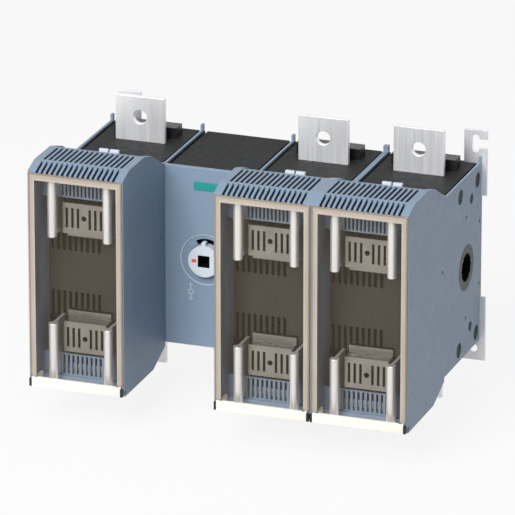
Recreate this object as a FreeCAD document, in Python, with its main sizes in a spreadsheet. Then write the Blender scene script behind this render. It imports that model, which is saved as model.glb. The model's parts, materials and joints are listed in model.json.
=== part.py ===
import FreeCAD, Part
import math
import os
import re

import Sketcher
from FreeCAD import Placement, Rotation, Vector

# Fuse switch disconnector: three fuse poles and one operating mechanism side by side.
# X runs along the row of modules, Y from front to back, Z up, in millimetres.
# The origin is in the mounting plane behind the row, at mid width and at the height
# of the switch shaft. Depths are measured forward from the mounting plane.

os.makedirs("parts", exist_ok=True)
doc = FreeCAD.newDocument("FuseSwitchDisconnector")

# Driving dimensions
SIZES = {
    # row of modules
    "pole_width": (97.0, "width of one fuse pole"),
    "mech_width": (92.0, "width of the operating mechanism"),
    "case_depth": (112.0, "depth of the rear case, and of the mechanism's front face"),
    "case_half": (90.0, "drop of the rear case below the shaft"),
    "case_top": (93.0, "height of the rear case above the shaft"),
    "wall_thick": (5.0, "side wall of a fuse housing"),
    "groove_depth": (5.0, "depth of the grooves beside the walls' long edges"),
    "peg_height_over": (6.0, "rise of the small peg at a wall's rear end"),
    "peg_length": (5.0, "length of that peg"),
    "lip_thick": (0.8, "thickness of the dark lips beside the walls' long edges"),
    "seat_gap": (0.3, "clearance between pieces that lie against each other"),
    "over": (1.0, "reach of a cutting tool past the face that it leaves"),
    "fit_gap": (0.08, "radial clearance of a running fit"),
    # fuse housing
    "housing_front": (225.0, "depth of the housing's front edge"),
    "housing_top": (118.0, "height of the housing above the shaft"),
    "housing_base": (107.0, "drop of the housing below the shaft"),
    "chamfer_depth": (18.0, "depth of the top's sloped front strip"),
    "chamfer_drop": (6.0, "drop of the top's sloped front strip"),
    "top_back": (166.0, "depth where the ribbed top ends"),
    "knee_depth": (146.0, "depth of the knees of the top and bottom outline"),
    "knee_top": (112.0, "height of the top knee"),
    "step_base": (94.0, "drop of the bottom outline where it meets the rear case"),
    "grille_thick": (5.0, "thickness of the ribbed top and floor"),
    "floor_front": (202.0, "depth of the floor's front edge"),
    "comb_front": (198.5, "depth of the upright combs' front faces"),
    "comb_thick": (3.0, "thickness of the upright combs"),
    "comb_top_height": (33.5, "height of the upper comb"),
    "comb_base_height": (22.0, "height of the lower comb"),
    "slit_width": (2.6, "width of a ventilation slit"),
    "slit_pitch": (5.2, "pitch of the ventilation slits"),
    "slit_count": (16, "number of slits in each grille"),
    "slit_edge": (4.0, "solid rim left around the floor's slits"),
    "slit_rim": (1.5, "solid rim left around the slits of the top and the combs"),
    "comb_top_slit": (1.9, "width of a slit in the upper comb"),
    "comb_top_pitch": (3.9, "pitch of those slits"),
    "comb_top_count": (13, "number of those slits"),
    "comb_base_slit": (2.3, "width of a slit in the lower comb"),
    "comb_base_pitch": (4.7, "pitch of those slits"),
    "comb_base_count": (11, "number of those slits"),
    # switch case behind the fuse
    "case_front": (185.0, "depth of the fuse compartment's rear wall"),
    "case_skin": (6.0, "thickness of the compartment's rear wall"),
    "case_inset": (1.5, "step of the switch case below the housing's walls"),
    "arc_half_width": (41.0, "half width of the space behind the rear wall"),
    "arc_half_height": (84.0, "half height of the space behind the rear wall"),
    "arc_back": (104.0, "depth of that space's back"),
    "vent_width": (3.0, "width of a slot in the rear wall"),
    "vent_pitch": (6.0, "pitch of the slots in the rear wall"),
    "vent_count": (9, "number of slots in the rear wall"),
    "vent_first": (41.0, "distance of the first slot left of the pole's centre"),
    "vent_inner": (21.0, "height of the slots' ends nearest the shaft"),
    "vent_outer": (82.0, "height of the slots' outer ends"),
    "ridge_half_width": (32.5, "half width of the ridge behind a terminal"),
    "ridge_near": (20.0, "depth of the ridge's back"),
    "ridge_far": (36.0, "depth of the ridge's front"),
    "ridge_height": (12.0, "height of the ridge above the case"),
    # switch shaft and rotors
    "shaft_depth": (48.0, "depth of the switch shaft's axis"),
    "shaft_side": (20.0, "side of the square switch shaft"),
    "rotor_radius": (38.0, "radius of a contact rotor"),
    "rotor_half_width": (22.0, "half width of a contact rotor"),
    "hub_radius": (18.0, "radius of a rotor's hub"),
    "hub_half_width": (28.0, "half width of a rotor's hub"),
    "bridge_thick": (4.0, "thickness of a contact bridge"),
    "bridge_half_width": (18.0, "half width of a contact bridge"),
    "bridge_span": (38.0, "angle that a contact bridge covers, degrees"),
    "switch_angle": (90.0, "turn of the shaft between off and on, degrees"),
    "chamber_gap": (2.5, "clearance round the turning bridges"),
    "chamber_half_width": (30.0, "half width of the rotor's chamber"),
    "contact_gap": (0.4, "distance from a bridge to a fixed contact"),
    "socket_radius": (23.0, "outer radius of a side drive socket"),
    "socket_length": (18.0, "length of a side drive socket"),
    "socket_depth": (13.0, "depth of its hexagonal bore"),
    "socket_flats": (26.0, "width across flats of that bore"),
    # terminals
    "lug_width": (51.0, "width of a terminal lug"),
    "lug_thick": (5.0, "thickness of a terminal lug"),
    "lug_reach": (137.0, "distance from the shaft's height to a lug's end"),
    "lug_hole_radius": (7.0, "radius of a lug's bolt hole"),
    "lug_hole_inset": (21.0, "distance of that hole from the lug's end"),
    "slot_gap": (0.2, "clearance round a bar that passes through the case"),
    # fuse contacts
    "strap_width": (44.0, "width of a fuse contact"),
    "strap_inner": (38.0, "height of a contact strap's inner face"),
    "strap_thick": (4.0, "thickness of a contact strap"),
    "riser_front": (190.0, "depth of the step between strap and plate"),
    "plate_front": (203.0, "depth of a contact plate's front face"),
    "plate_inner": (45.0, "distance from the shaft's height to a contact plate's near end"),
    "plate_thick": (3.0, "thickness of a contact plate"),
    "plate_reach": (76.0, "distance from the shaft's height to a contact plate's far end"),
    "tag_hole_radius": (2.6, "radius of the fuse tag's screw hole"),
    "tag_hole_reach": (61.5, "distance from the shaft's height to that hole"),
    "finger_gap": (2.5, "width of the slots between contact fingers"),
    "finger_first": (6.0, "distance of the first slot from the middle"),
    "finger_pitch": (5.75, "pitch of the slots between contact fingers"),
    "finger_count": (3, "number of slots on each side of the middle"),
    "finger_inner": (51.0, "height of the slots' ends nearest the shaft"),
    "finger_outer": (71.0, "height of the slots' outer ends"),
    "guide_offset": (28.4, "distance of a guide from the pole's centre"),
    "guide_thick": (3.0, "thickness of a guide's cheek"),
    "guide_front": (214.0, "depth of the axis of a guide's rolled edge"),
    "guide_bead_radius": (4.5, "radius of a guide's rolled edge"),
    "guide_inner": (44.0, "height of a guide's end nearest the shaft"),
    "guide_outer": (101.0, "height of a guide's outer end"),
    "guide_bar_height": (7.0, "height of the bar that joins two guides"),
    # clear cover
    "cover_front": (229.0, "depth of the cover's front face"),
    "cover_top": (111.0, "height of the cover"),
    "cover_base": (106.0, "drop of the cover"),
    "cover_thick": (2.5, "wall of the cover"),
    "cover_side_gap": (0.5, "clearance at the cover's sides"),
    "cover_flange": (211.0, "depth of the back of the cover's side flanges"),
    "cover_top_flange": (206.0, "depth of the back of its top flange"),
    "cover_flange_top": (106.0, "height of its top flange"),
    "hinge_inset": (3.0, "distance of the cover's hinge axis behind the housing's front"),
    "hinge_drop": (102.8, "drop of the cover's hinge axis"),
    "hinge_radius": (2.0, "radius of the cover's hinge pins"),
    "hinge_bevel": (22.5, "angle of the middle corner of the rounded edge round the hinge, degrees"),
    "lip_depth": (1.0, "reach of the cover's bottom lip behind the hinge axis"),
    # label strip behind each ribbed top
    "label_width": (20.0, "width of a label strip"),
    "label_offset": (11.5, "distance of a label strip from the pole's centre"),
    "label_thick": (4.0, "depth of a label strip"),
    "label_rise": (2.5, "rise of a label strip above the ribbed top"),
    "label_notch": (1.6, "width of the notch across a label strip"),
    # operating mechanism
    "dial_offset": (42.0, "distance of the drive axis from the mechanism's left side"),
    "dial_radius": (16.0, "radius of the dial"),
    "dial_stand": (6.0, "distance of the dial's front face before the mechanism's front face"),
    "dial_sink": (4.0, "distance of the dial's back face behind the mechanism's front face"),
    "dial_ring_radius": (26.0, "radius of the shallow round recess in the front face"),
    "recess_depth": (0.8, "depth of that recess"),
    "key_side": (12.0, "side of the dial's square socket"),
    "key_depth": (14.5, "depth of that socket"),
    "index_width": (4.0, "width of the dial's index nose"),
    "window_reach": (21.0, "radius of the window that the index nose turns in"),
    "window_span": (150.0, "angle of that window, degrees"),
    "window_lead": (30.0, "angle of that window before the off position, degrees"),
    "index_reach": (19.5, "distance of the index nose's tip from the drive axis"),
    "front_thick": (3.5, "thickness of the mechanism's front plate"),
    "front_rim": (4.5, "depth of the mechanism front's rim"),
    "bearing_radius": (11.0, "radius of the drive shaft"),
    "bearing_thick": (10.0, "length of its bearing in the mechanism case"),
    "gearbox_half": (32.0, "half width of the gear chamber"),
    "gearbox_half_height": (34.0, "half height of the gear chamber"),
    "gearbox_back": (8.0, "depth of the gear chamber's back"),
    "gear_pitch_radius": (22.0, "outer pitch radius of the two bevel gears"),
    "gear_face": (5.4, "axial length of a bevel gear's teeth"),
    "gear_hub": (6.0, "thickness of a bevel gear's hub"),
    "gear_teeth": (16, "number of teeth of each bevel gear"),
    "gear_pitch_angle": (45.0, "half angle of the pitch cone, degrees"),
    "gear_addendum": (3.5, "angle from pitch cone to tooth tips, degrees"),
    "gear_dedendum": (4.5, "angle from pitch cone to tooth roots, degrees"),
    "gear_clear": (3.0, "angle that a groove's tool reaches past the tips, degrees"),
    "gear_root_share": (0.26, "half width of a groove at the root, as a share of the pitch"),
    "gear_top_share": (0.42, "half width of a groove's tool at its top, as a share of the pitch"),
    "gear_tool_near": (0.6, "near end of a groove's tool, as a share of the inner radius"),
    "gear_tool_far": (1.3, "far end of a groove's tool, as a share of the outer radius"),
    "plate_label_width": (26.7, "width of the blank name plate"),
    "plate_label_height": (8.4, "height of the blank name plate"),
    "plate_label_left": (30.1, "distance of the name plate from the mechanism's left side"),
    "plate_label_top": (79.0, "height of the name plate's upper edge"),
    "plate_label_thick": (0.8, "thickness of the blank name plate"),
    # feet, screws and tie rods
    "foot_width": (23.4, "width of a mounting foot"),
    "foot_thick": (3.0, "thickness of a mounting foot"),
    "foot_length": (66.0, "height of a mounting foot"),
    "foot_top_reach": (125.0, "height of the upper feet's ends"),
    "foot_base_reach": (111.5, "drop of the lower feet's ends"),
    "foot_overhang": (5.5, "reach of the right feet past the row's end"),
    "foot_inset": (8.0, "distance of the left feet from the row's end"),
    "hook_width": (7.5, "width of the upper feet's upright slot"),
    "hook_height": (18.0, "height of that slot"),
    "hook_reach": (111.5, "height of that slot's centre"),
    "hook_mouth": (9.0, "height of that slot's mouth"),
    "fixing_radius": (4.25, "radius of the lower feet's holes"),
    "fixing_inset": (12.0, "distance of the lower feet's holes from the feet's ends"),
    "screw_radius": (2.5, "radius of a foot screw"),
    "screw_head_radius": (5.0, "radius of a foot screw's countersunk head"),
    "screw_length": (9.0, "length of a foot screw"),
    "screw_side": (7.0, "distance of a foot screw from the foot's left edge"),
    "screw_inset": (12.0, "distance of a foot screw from the foot's inner end"),
    "rod_radius": (4.0, "radius of a tie rod"),
    "rod_head_radius": (6.5, "radius of a tie rod's head"),
    "rod_hole_radius": (7.6, "radius of the holes for the heads"),
    "rod_head_length": (4.0, "length of a tie rod's head"),
    "rod_front": (68.0, "depth of the front tie rods"),
    "rod_back": (14.0, "depth of the rear tie rods"),
    "rod_height": (78.5, "height of the tie rods above and below the shaft"),
    "pilot_radius": (5.2, "radius of the accessory holes"),
    "pilot_depth": (33.0, "depth of the accessory holes"),
    "pilot_height": (65.5, "height of the accessory holes"),
    "peg_hole_radius": (1.8, "radius of the small peg holes"),
    "peg_height": (51.5, "height of the peg holes above and below the shaft"),
    "peg_rear_depth": (7.2, "depth of the two rear peg holes"),
    "peg_rear_height": (34.3, "height of the upper rear peg hole"),
    "peg_rear_drop": (29.4, "drop of the lower rear peg hole"),
    "peg_front_depth": (122.0, "depth of the front peg hole"),
    "peg_front_height": (20.4, "height of the front peg hole"),
}

# Places worked out from the driving dimensions
PLACES = {
    "hinge_depth": "housing_front - hinge_inset",
    "lug_hole_reach": "lug_reach - lug_hole_inset",
    "dial_front": "case_depth + dial_stand",
    "dial_back": "case_depth - dial_sink",
    "fixing_reach": "foot_base_reach - fixing_inset",
    "row_half": "(3 * pole_width + mech_width) / 2",
    "case_edge": "case_half - case_inset",
    "case_roof": "case_top - case_inset",
    "lip_reach": "pole_width / 2 - wall_thick / 2 - slot_gap",
    "ledge_width": "wall_thick / 2 + seat_gap + over",
    "bridge_radius": "rotor_radius + bridge_thick",
    "fixed_radius": "bridge_radius + contact_gap",
    "chamber_radius": "bridge_radius + chamber_gap",
    "strap_back": "shaft_depth + sqrt(fixed_radius * fixed_radius - strap_inner * strap_inner)",
    "strap_outer": "strap_inner + strap_thick",
    "riser_back": "riser_front - strap_thick",
    "shelf_outer": "plate_inner + strap_thick",
    "bore_radius": "socket_radius + fit_gap",
    "pole_1": "-row_half + pole_width / 2",
    "mech_left": "-row_half + pole_width",
    "mech_right": "mech_left + mech_width",
    "pole_2": "mech_right + pole_width / 2",
    "pole_3": "mech_right + pole_width * 3 / 2",
    "dial_x": "mech_left + dial_offset",
    "hinge_reach": "housing_base - hinge_drop",
    "corner_depth": "hinge_depth + hinge_reach * sin(hinge_bevel)",
    "corner_drop": "hinge_drop + hinge_reach * cos(hinge_bevel)",
    "corner_front": "hinge_drop + sqrt(hinge_reach * hinge_reach - hinge_inset * hinge_inset)",
}

sheet = doc.addObject("Spreadsheet::Sheet", "Sizes")
for row, (alias, (value, meaning)) in enumerate(SIZES.items(), start=1):
    sheet.set(f"A{row}", str(value))
    sheet.set(f"B{row}", meaning)
    sheet.setAlias(f"A{row}", alias)
doc.recompute()


def bound(text):
    """The expression that a size or place stands for, in terms of the sheet's cells."""

    def swap(match):
        word = match.group(0)
        if word in PLACES:
            return "(" + bound(PLACES[word]) + ")"
        return "Sizes." + word if word in SIZES else word

    return re.sub(r"[A-Za-z_][A-Za-z_0-9]*", swap, str(text))


def number(text):
    """The present value of an expression, for what has no property to bind."""
    return float(sheet.evalExpression(bound(text)))


def locate(item, spot):
    """Binds an object's place to three expressions."""
    for axis, text in zip("xyz", spot):
        item.setExpression(".Placement.Base." + axis, bound(text))
    return item


def box(name, low, size):
    """A block from its low corner and its three lengths."""
    item = doc.addObject("Part::Box", name)
    for side, text in zip(("Length", "Width", "Height"), size):
        item.setExpression(side, bound(text))
    return locate(item, low)


TURN_TO = {
    "X": Rotation(Vector(0, 1, 0), 90),
    "Y": Rotation(Vector(1, 0, 0), -90),
    "Z": Rotation(),
}


def rod(name, axis, spot, radius, length):
    """A cylinder that runs from a spot along +X, +Y or +Z."""
    item = doc.addObject("Part::Cylinder", name)
    item.Placement = Placement(Vector(), TURN_TO[axis])
    item.setExpression("Radius", bound(radius))
    item.setExpression("Height", bound(length))
    return locate(item, spot)


def cone(name, spot, back_radius, front_radius, length):
    """A cone that runs forward from a spot, along -Y."""
    item = doc.addObject("Part::Cone", name)
    item.Placement = Placement(Vector(), Rotation(Vector(1, 0, 0), 90))
    item.setExpression("Radius1", bound(back_radius))
    item.setExpression("Radius2", bound(front_radius))
    item.setExpression("Height", bound(length))
    return locate(item, spot)


def fuse(name, pieces):
    """One solid from pieces that touch or overlap."""
    item = doc.addObject("Part::MultiFuse", name)
    item.Shapes = pieces
    item.Refine = True
    return item


def group(name, pieces):
    """Separate solids kept together."""
    item = doc.addObject("Part::Compound", name)
    item.Links = pieces
    return item


def cut(name, base, tools):
    """A base with every tool taken away."""
    item = doc.addObject("Part::Cut", name)
    item.Base = base
    item.Tool = tools[0] if len(tools) == 1 else fuse(name + "_tools", tools)
    item.Refine = True
    return item


def common(name, first, second):
    """What two shapes share."""
    item = doc.addObject("Part::MultiCommon", name)
    item.Shapes = [first, second]
    item.Refine = True
    return item


def outline(name, corners, left, length):
    """A body padded along +X from a closed outline of (Y, Z) corners."""
    body = doc.addObject("PartDesign::Body", name)
    sketch = body.newObject("Sketcher::SketchObject", name + "_sketch")
    plane = [item for item in body.Origin.OriginFeatures if item.Role == "YZ_Plane"][0]
    sketch.AttachmentSupport = [(plane, "")]
    sketch.MapMode = "FlatFace"
    points = [Vector(number(y), number(z), 0) for y, z in corners]
    count = len(points)
    for index in range(count):
        sketch.addGeometry(Part.LineSegment(points[index], points[(index + 1) % count]), False)
    for index in range(count):
        sketch.addConstraint(Sketcher.Constraint("Coincident", index, 2, (index + 1) % count, 1))
    for index, corner in enumerate(corners):
        for kind, text in zip(("DistanceX", "DistanceY"), corner):
            constraint = Sketcher.Constraint(kind, -1, 1, index, 1, number(text))
            sketch.setExpression(f"Constraints[{sketch.addConstraint(constraint)}]", bound(text))
    pad = body.newObject("PartDesign::Pad", name + "_pad")
    pad.Profile = sketch
    pad.setExpression("Length", bound(length))
    return locate(body, (left, 0, 0))


pieces = []


def keep(item, label):
    """Marks a finished piece and gives it its name."""
    item.Label = label
    pieces.append(item)
    return item


def upright(side, low, high):
    """Low end and height of a span above (+1) or below (-1) the shaft."""
    return (low if side > 0 else f"-({high})", f"({high}) - ({low})")


# Holes along the whole row: tie rods, their heads and the switch shaft's bore
ROD_SPOTS = [
    (f"-{depth}", f"{side}rod_height") for depth in ("rod_front", "rod_back") for side in ("", "-")
]
rod_holes = [
    rod(f"rod_hole_{index}", "X", ("-row_half", y, z), "rod_radius + slot_gap", "2 * row_half")
    for index, (y, z) in enumerate(ROD_SPOTS)
]
head_holes = [
    rod(f"head_hole_{index}", "X", ("-row_half", y, z), "rod_hole_radius", "2 * row_half")
    for index, (y, z) in enumerate(ROD_SPOTS)
]
shaft_bore = rod("shaft_bore", "X", ("-row_half", "-shaft_depth", "0"), "bore_radius", "2 * row_half")
PEG_SPOTS = [("-shaft_depth", "peg_height"), ("-shaft_depth", "-peg_height")]
PEG_SPOTS += [("-peg_rear_depth", "peg_rear_height"), ("-peg_rear_depth", "-peg_rear_drop")]
PEG_SPOTS += [("-peg_front_depth", "peg_front_height")]
peg_holes = [
    rod(f"peg_hole_{index}", "X", ("-row_half", y, z), "peg_hole_radius", "2 * row_half")
    for index, (y, z) in enumerate(PEG_SPOTS)
]
pilot_holes = [
    rod(f"pilot_{index}", "X", ("-row_half", "-pilot_depth", z), "pilot_radius", "2 * row_half")
    for index, z in enumerate(("pilot_height", "-pilot_height"))
]
hinge_hole = rod(
    "hinge_hole", "X", ("-row_half", "-hinge_depth", "-hinge_drop"), "hinge_radius + fit_gap", "2 * row_half"
)

# Feet: left and right positions, and the pockets that they lie in
FEET_LEFT = {"left": "-row_half + foot_inset", "right": "row_half + foot_overhang - foot_width"}
FEET_LOW = {"upper": "foot_top_reach - foot_length", "lower": "-foot_base_reach"}


def screw_height(level):
    """Height of the screw that holds a foot, near the end that lies on the case."""
    if level == "upper":
        return "foot_top_reach - foot_length + screw_inset"
    return "-foot_base_reach + foot_length - screw_inset"


foot_pockets = [
    box(
        f"foot_pocket_{level}_{hand}",
        (f"{left} - seat_gap", "-foot_thick - fit_gap", f"{low} - seat_gap"),
        ("foot_width + 2 * seat_gap", "foot_thick + seat_gap", "foot_length + 2 * seat_gap"),
    )
    for level, low in FEET_LOW.items()
    for hand, left in FEET_LEFT.items()
]
screw_holes = [
    rod(
        f"screw_hole_{level}_{hand}",
        "Y",
        (f"{left} + screw_side", "-screw_length - seat_gap", screw_height(level)),
        "screw_radius + slot_gap / 2",
        "screw_length",
    )
    for level in FEET_LOW
    for hand, left in FEET_LEFT.items()
]


def make_housing(index, centre):
    """Blue moulding of one pole: two side walls, ribbed top, ribbed floor and combs."""
    left = f"{centre} - pole_width / 2"
    shell = outline(
        f"housing_shell_{index}",
        [
            ("-housing_front", "-corner_front"),
            ("-corner_depth", "-corner_drop"),
            ("-hinge_depth", "-housing_base"),
            ("-knee_depth", "-housing_base"),
            ("-case_depth - over", "-step_base"),
            ("-case_depth - over", "-case_half"),
            ("0", "-case_half"),
            ("0", "case_top + peg_height_over"),
            ("-peg_length", "case_top + peg_height_over"),
            ("-peg_length", "case_top"),
            ("-case_depth", "case_top"),
            ("-knee_depth", "knee_top"),
            ("-top_back", "housing_top"),
            ("-housing_front + chamfer_depth", "housing_top"),
            ("-housing_front", "housing_top - chamfer_drop"),
        ],
        left,
        "pole_width",
    )
    inside = outline(
        f"housing_inside_{index}",
        [
            ("-housing_front - over", "-housing_base - over"),
            ("-floor_front", "-housing_base - over"),
            ("-floor_front", "-housing_base + grille_thick"),
            ("-knee_depth", "-housing_base + grille_thick"),
            ("-knee_depth", "-housing_base - over"),
            ("1", "-housing_base - over"),
            ("1", "housing_top + over"),
            ("-top_back", "housing_top + over"),
            ("-top_back", "housing_top - grille_thick"),
            ("-housing_front + chamfer_depth", "housing_top - grille_thick"),
            ("-housing_front - over", "housing_top - chamfer_drop - grille_thick"),
        ],
        f"{left} + wall_thick",
        "pole_width - 2 * wall_thick",
    )
    hollow = cut(f"housing_hollow_{index}", shell, [inside])
    across = "pole_width - 2 * wall_thick"
    comb_top = box(
        f"comb_top_{index}",
        (f"{left} + wall_thick", "-comb_front", "housing_top - grille_thick - comb_top_height"),
        (across, "comb_thick", "comb_top_height + grille_thick / 2"),
    )
    comb_base = box(
        f"comb_base_{index}",
        (f"{left} + wall_thick", "-comb_front", "-housing_base + grille_thick / 2"),
        (across, "comb_thick", "comb_base_height + grille_thick / 2"),
    )
    solid = fuse(f"housing_solid_{index}", [hollow, comb_top, comb_base])
    slits = []
    for step in range(int(SIZES["slit_count"][0])):
        x = f"{centre} + ({step} - (slit_count - 1) / 2) * slit_pitch - slit_width / 2"
        for kind, front, back, low, high in (
            (
                "top",
                "-housing_front + chamfer_depth + slit_rim",
                "-top_back - slit_rim",
                "housing_top - grille_thick - over",
                "housing_top + over",
            ),
            (
                "front",
                "-housing_front - over",
                "-housing_front + chamfer_depth - slit_rim / 2",
                "housing_top - chamfer_drop - grille_thick + 2 * over",
                "housing_top + 3 * over",
            ),
            (
                "floor",
                "-comb_front + comb_thick + over",
                "-knee_depth - slit_edge",
                "-housing_base - over",
                "-housing_base + grille_thick + over",
            ),
        ):
            slits.append(
                box(
                    f"slit_{kind}_{index}_{step}",
                    (x, front, low),
                    ("slit_width", f"({back}) - ({front})", f"({high}) - ({low})"),
                )
            )
    combs = {
        "top": ("housing_top - grille_thick - comb_top_height + slit_rim", "comb_top_height - slit_rim - over"),
        "base": ("-housing_base + grille_thick + over", "comb_base_height - over - slit_rim"),
    }
    for kind, (low, height) in combs.items():
        for step in range(int(SIZES[f"comb_{kind}_count"][0])):
            x = f"{centre} + ({step} - (comb_{kind}_count - 1) / 2) * comb_{kind}_pitch - comb_{kind}_slit / 2"
            slits.append(
                box(
                    f"slit_comb_{kind}_{index}_{step}",
                    (x, "-comb_front - over", low),
                    (f"comb_{kind}_slit", "comb_thick + 2 * over", height),
                )
            )
    for side, name in ((1, "top"), (-1, "base")):
        edge = "housing_top - grille_thick - comb_top_height"
        if side < 0:
            edge = "housing_base - grille_thick - comb_base_height"
        low, height = upright(side, f"{edge} - over", "guide_outer + slot_gap")
        for hand in (-1, 1):
            slits.append(
                box(
                    f"guide_notch_{name}_{index}_{hand + 1}",
                    (
                        f"{centre} + {hand} * guide_offset - guide_thick / 2 - slot_gap",
                        "-comb_front - over",
                        low,
                    ),
                    ("guide_thick + 2 * slot_gap", "comb_thick + 2 * over", height),
                )
            )
    grooves = [
        box(
            f"groove_{name}_{hand}_{index}",
            (f"{centre} {shift}", "-case_depth + peg_length", low),
            ("wall_thick / 2 + over", "case_depth", "groove_depth + peg_height_over + over"),
        )
        for name, low in (("top", "case_top - groove_depth"), ("base", "-case_half - peg_height_over - over"))
        for hand, shift in (
            ("left", "- pole_width / 2 + wall_thick / 2"),
            ("right", "+ pole_width / 2 - wall_thick - over"),
        )
    ]
    tools = slits + grooves + head_holes + peg_holes + pilot_holes + [shaft_bore, hinge_hole]
    if index == 3:
        tools += [pocket for pocket in foot_pockets if "right" in pocket.Name]
    return keep(cut(f"housing_{index}", solid, tools), f"fuse_housing_{index}")


def make_switch_case(index, centre):
    """Dark moulding behind the fuse, in two halves that meet at the pole's middle."""
    left = f"{centre} - pole_width / 2 + wall_thick + seat_gap"
    width = "pole_width - 2 * wall_thick - 2 * seat_gap"
    block = outline(
        f"case_block_{index}",
        [
            ("-case_front", "-housing_base + grille_thick + seat_gap"),
            ("-knee_depth", "-housing_base + grille_thick + seat_gap"),
            ("-case_depth", "-case_edge"),
            ("0", "-case_edge"),
            ("0", "case_roof"),
            ("-case_depth", "case_roof"),
            ("-knee_depth", "knee_top - case_inset"),
            ("-case_front", "knee_top - case_inset"),
        ],
        left,
        width,
    )
    ridges = []
    for side, name, edge, wall_end in ((1, "top", "case_roof", "case_top"), (-1, "base", "case_edge", "case_half")):
        low, height = upright(side, f"{edge} - over", f"{edge} + ridge_height")
        ridges.append(
            box(
                f"ridge_{name}_{index}",
                (f"{centre} - ridge_half_width", "-ridge_far", low),
                ("2 * ridge_half_width", "ridge_far - ridge_near", height),
            )
        )
        ledge = f"{wall_end} - groove_depth + slot_gap"
        for part, far, width in (
            ("lip", edge, "lip_thick"),
            ("ledge", f"{ledge} + lip_thick", "ledge_width"),
        ):
            low, height = upright(side, ledge, far)
            for hand, x in (
                ("left", f"{centre} - lip_reach"),
                ("right", f"{centre} + lip_reach - {width}"),
            ):
                ridges.append(
                    box(
                        f"{part}_{name}_{hand}_{index}",
                        (x, "-case_depth + peg_length + seat_gap", low),
                        (width, "case_depth - peg_length - seat_gap", height),
                    )
                )
    solid = fuse(f"case_solid_{index}", [block] + ridges)
    tools = list(rod_holes) + [shaft_bore]
    tools.append(
        rod(
            f"chamber_{index}",
            "X",
            (f"{centre} - chamber_half_width", "-shaft_depth", "0"),
            "chamber_radius",
            "2 * chamber_half_width",
        )
    )
    tools.append(
        box(
            f"arc_space_{index}",
            (f"{centre} - arc_half_width", "-case_front + case_skin", "-arc_half_height"),
            ("2 * arc_half_width", "case_front - case_skin - arc_back", "2 * arc_half_height"),
        )
    )
    for side, name in ((1, "top"), (-1, "base")):
        low, height = upright(side, "chamber_radius - chamber_gap", "lug_reach")
        tools.append(
            box(
                f"lug_slot_{name}_{index}",
                (f"{centre} - lug_width / 2 - slot_gap", "-shaft_depth - lug_thick / 2 - slot_gap", low),
                ("lug_width + 2 * slot_gap", "lug_thick + 2 * slot_gap", height),
            )
        )
        low, height = upright(side, "strap_inner - slot_gap", "strap_outer + slot_gap")
        tools.append(
            box(
                f"strap_slot_{name}_{index}",
                (f"{centre} - strap_width / 2 - slot_gap", "-case_front - over", low),
                ("strap_width + 2 * slot_gap", "case_front - strap_back + 3 * over", height),
            )
        )
        low, height = upright(side, "vent_inner", "vent_outer")
        for step in range(int(SIZES["vent_count"][0])):
            tools.append(
                box(
                    f"vent_{name}_{index}_{step}",
                    (f"{centre} - vent_first + {step} * vent_pitch", "-case_front - over", low),
                    ("vent_width", "case_skin + 2 * over", height),
                )
            )
    if index != 2:
        hand = "left" if index == 1 else "right"
        tools += [item for item in foot_pockets + screw_holes if item.Name.endswith(hand)]
    whole = cut(f"case_whole_{index}", solid, tools)
    for hand, edge in (("left", f"{centre} - pole_width / 2"), ("right", centre)):
        half = box(
            f"case_side_{hand}_{index}",
            (edge, "-housing_front", "-lug_reach"),
            ("pole_width / 2", "housing_front", "2 * lug_reach"),
        )
        keep(common(f"case_{hand}_{index}", whole, half), f"switch_case_{hand}_{index}")


def make_terminals(index, centre):
    """Upper and lower terminal lugs of one pole."""
    for side, name in ((1, "upper"), (-1, "lower")):
        low, height = upright(side, "fixed_radius", "lug_reach")
        bar = box(
            f"lug_{name}_{index}",
            (f"{centre} - lug_width / 2", "-shaft_depth - lug_thick / 2", low),
            ("lug_width", "lug_thick", height),
        )
        hole = rod(
            f"lug_hole_{name}_{index}",
            "Y",
            (centre, "-shaft_depth - lug_thick", f"{side} * lug_hole_reach"),
            "lug_hole_radius",
            "2 * lug_thick",
        )
        keep(cut(f"terminal_{name}_{index}", bar, [hole]), f"{name}_terminal_{index}")


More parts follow.
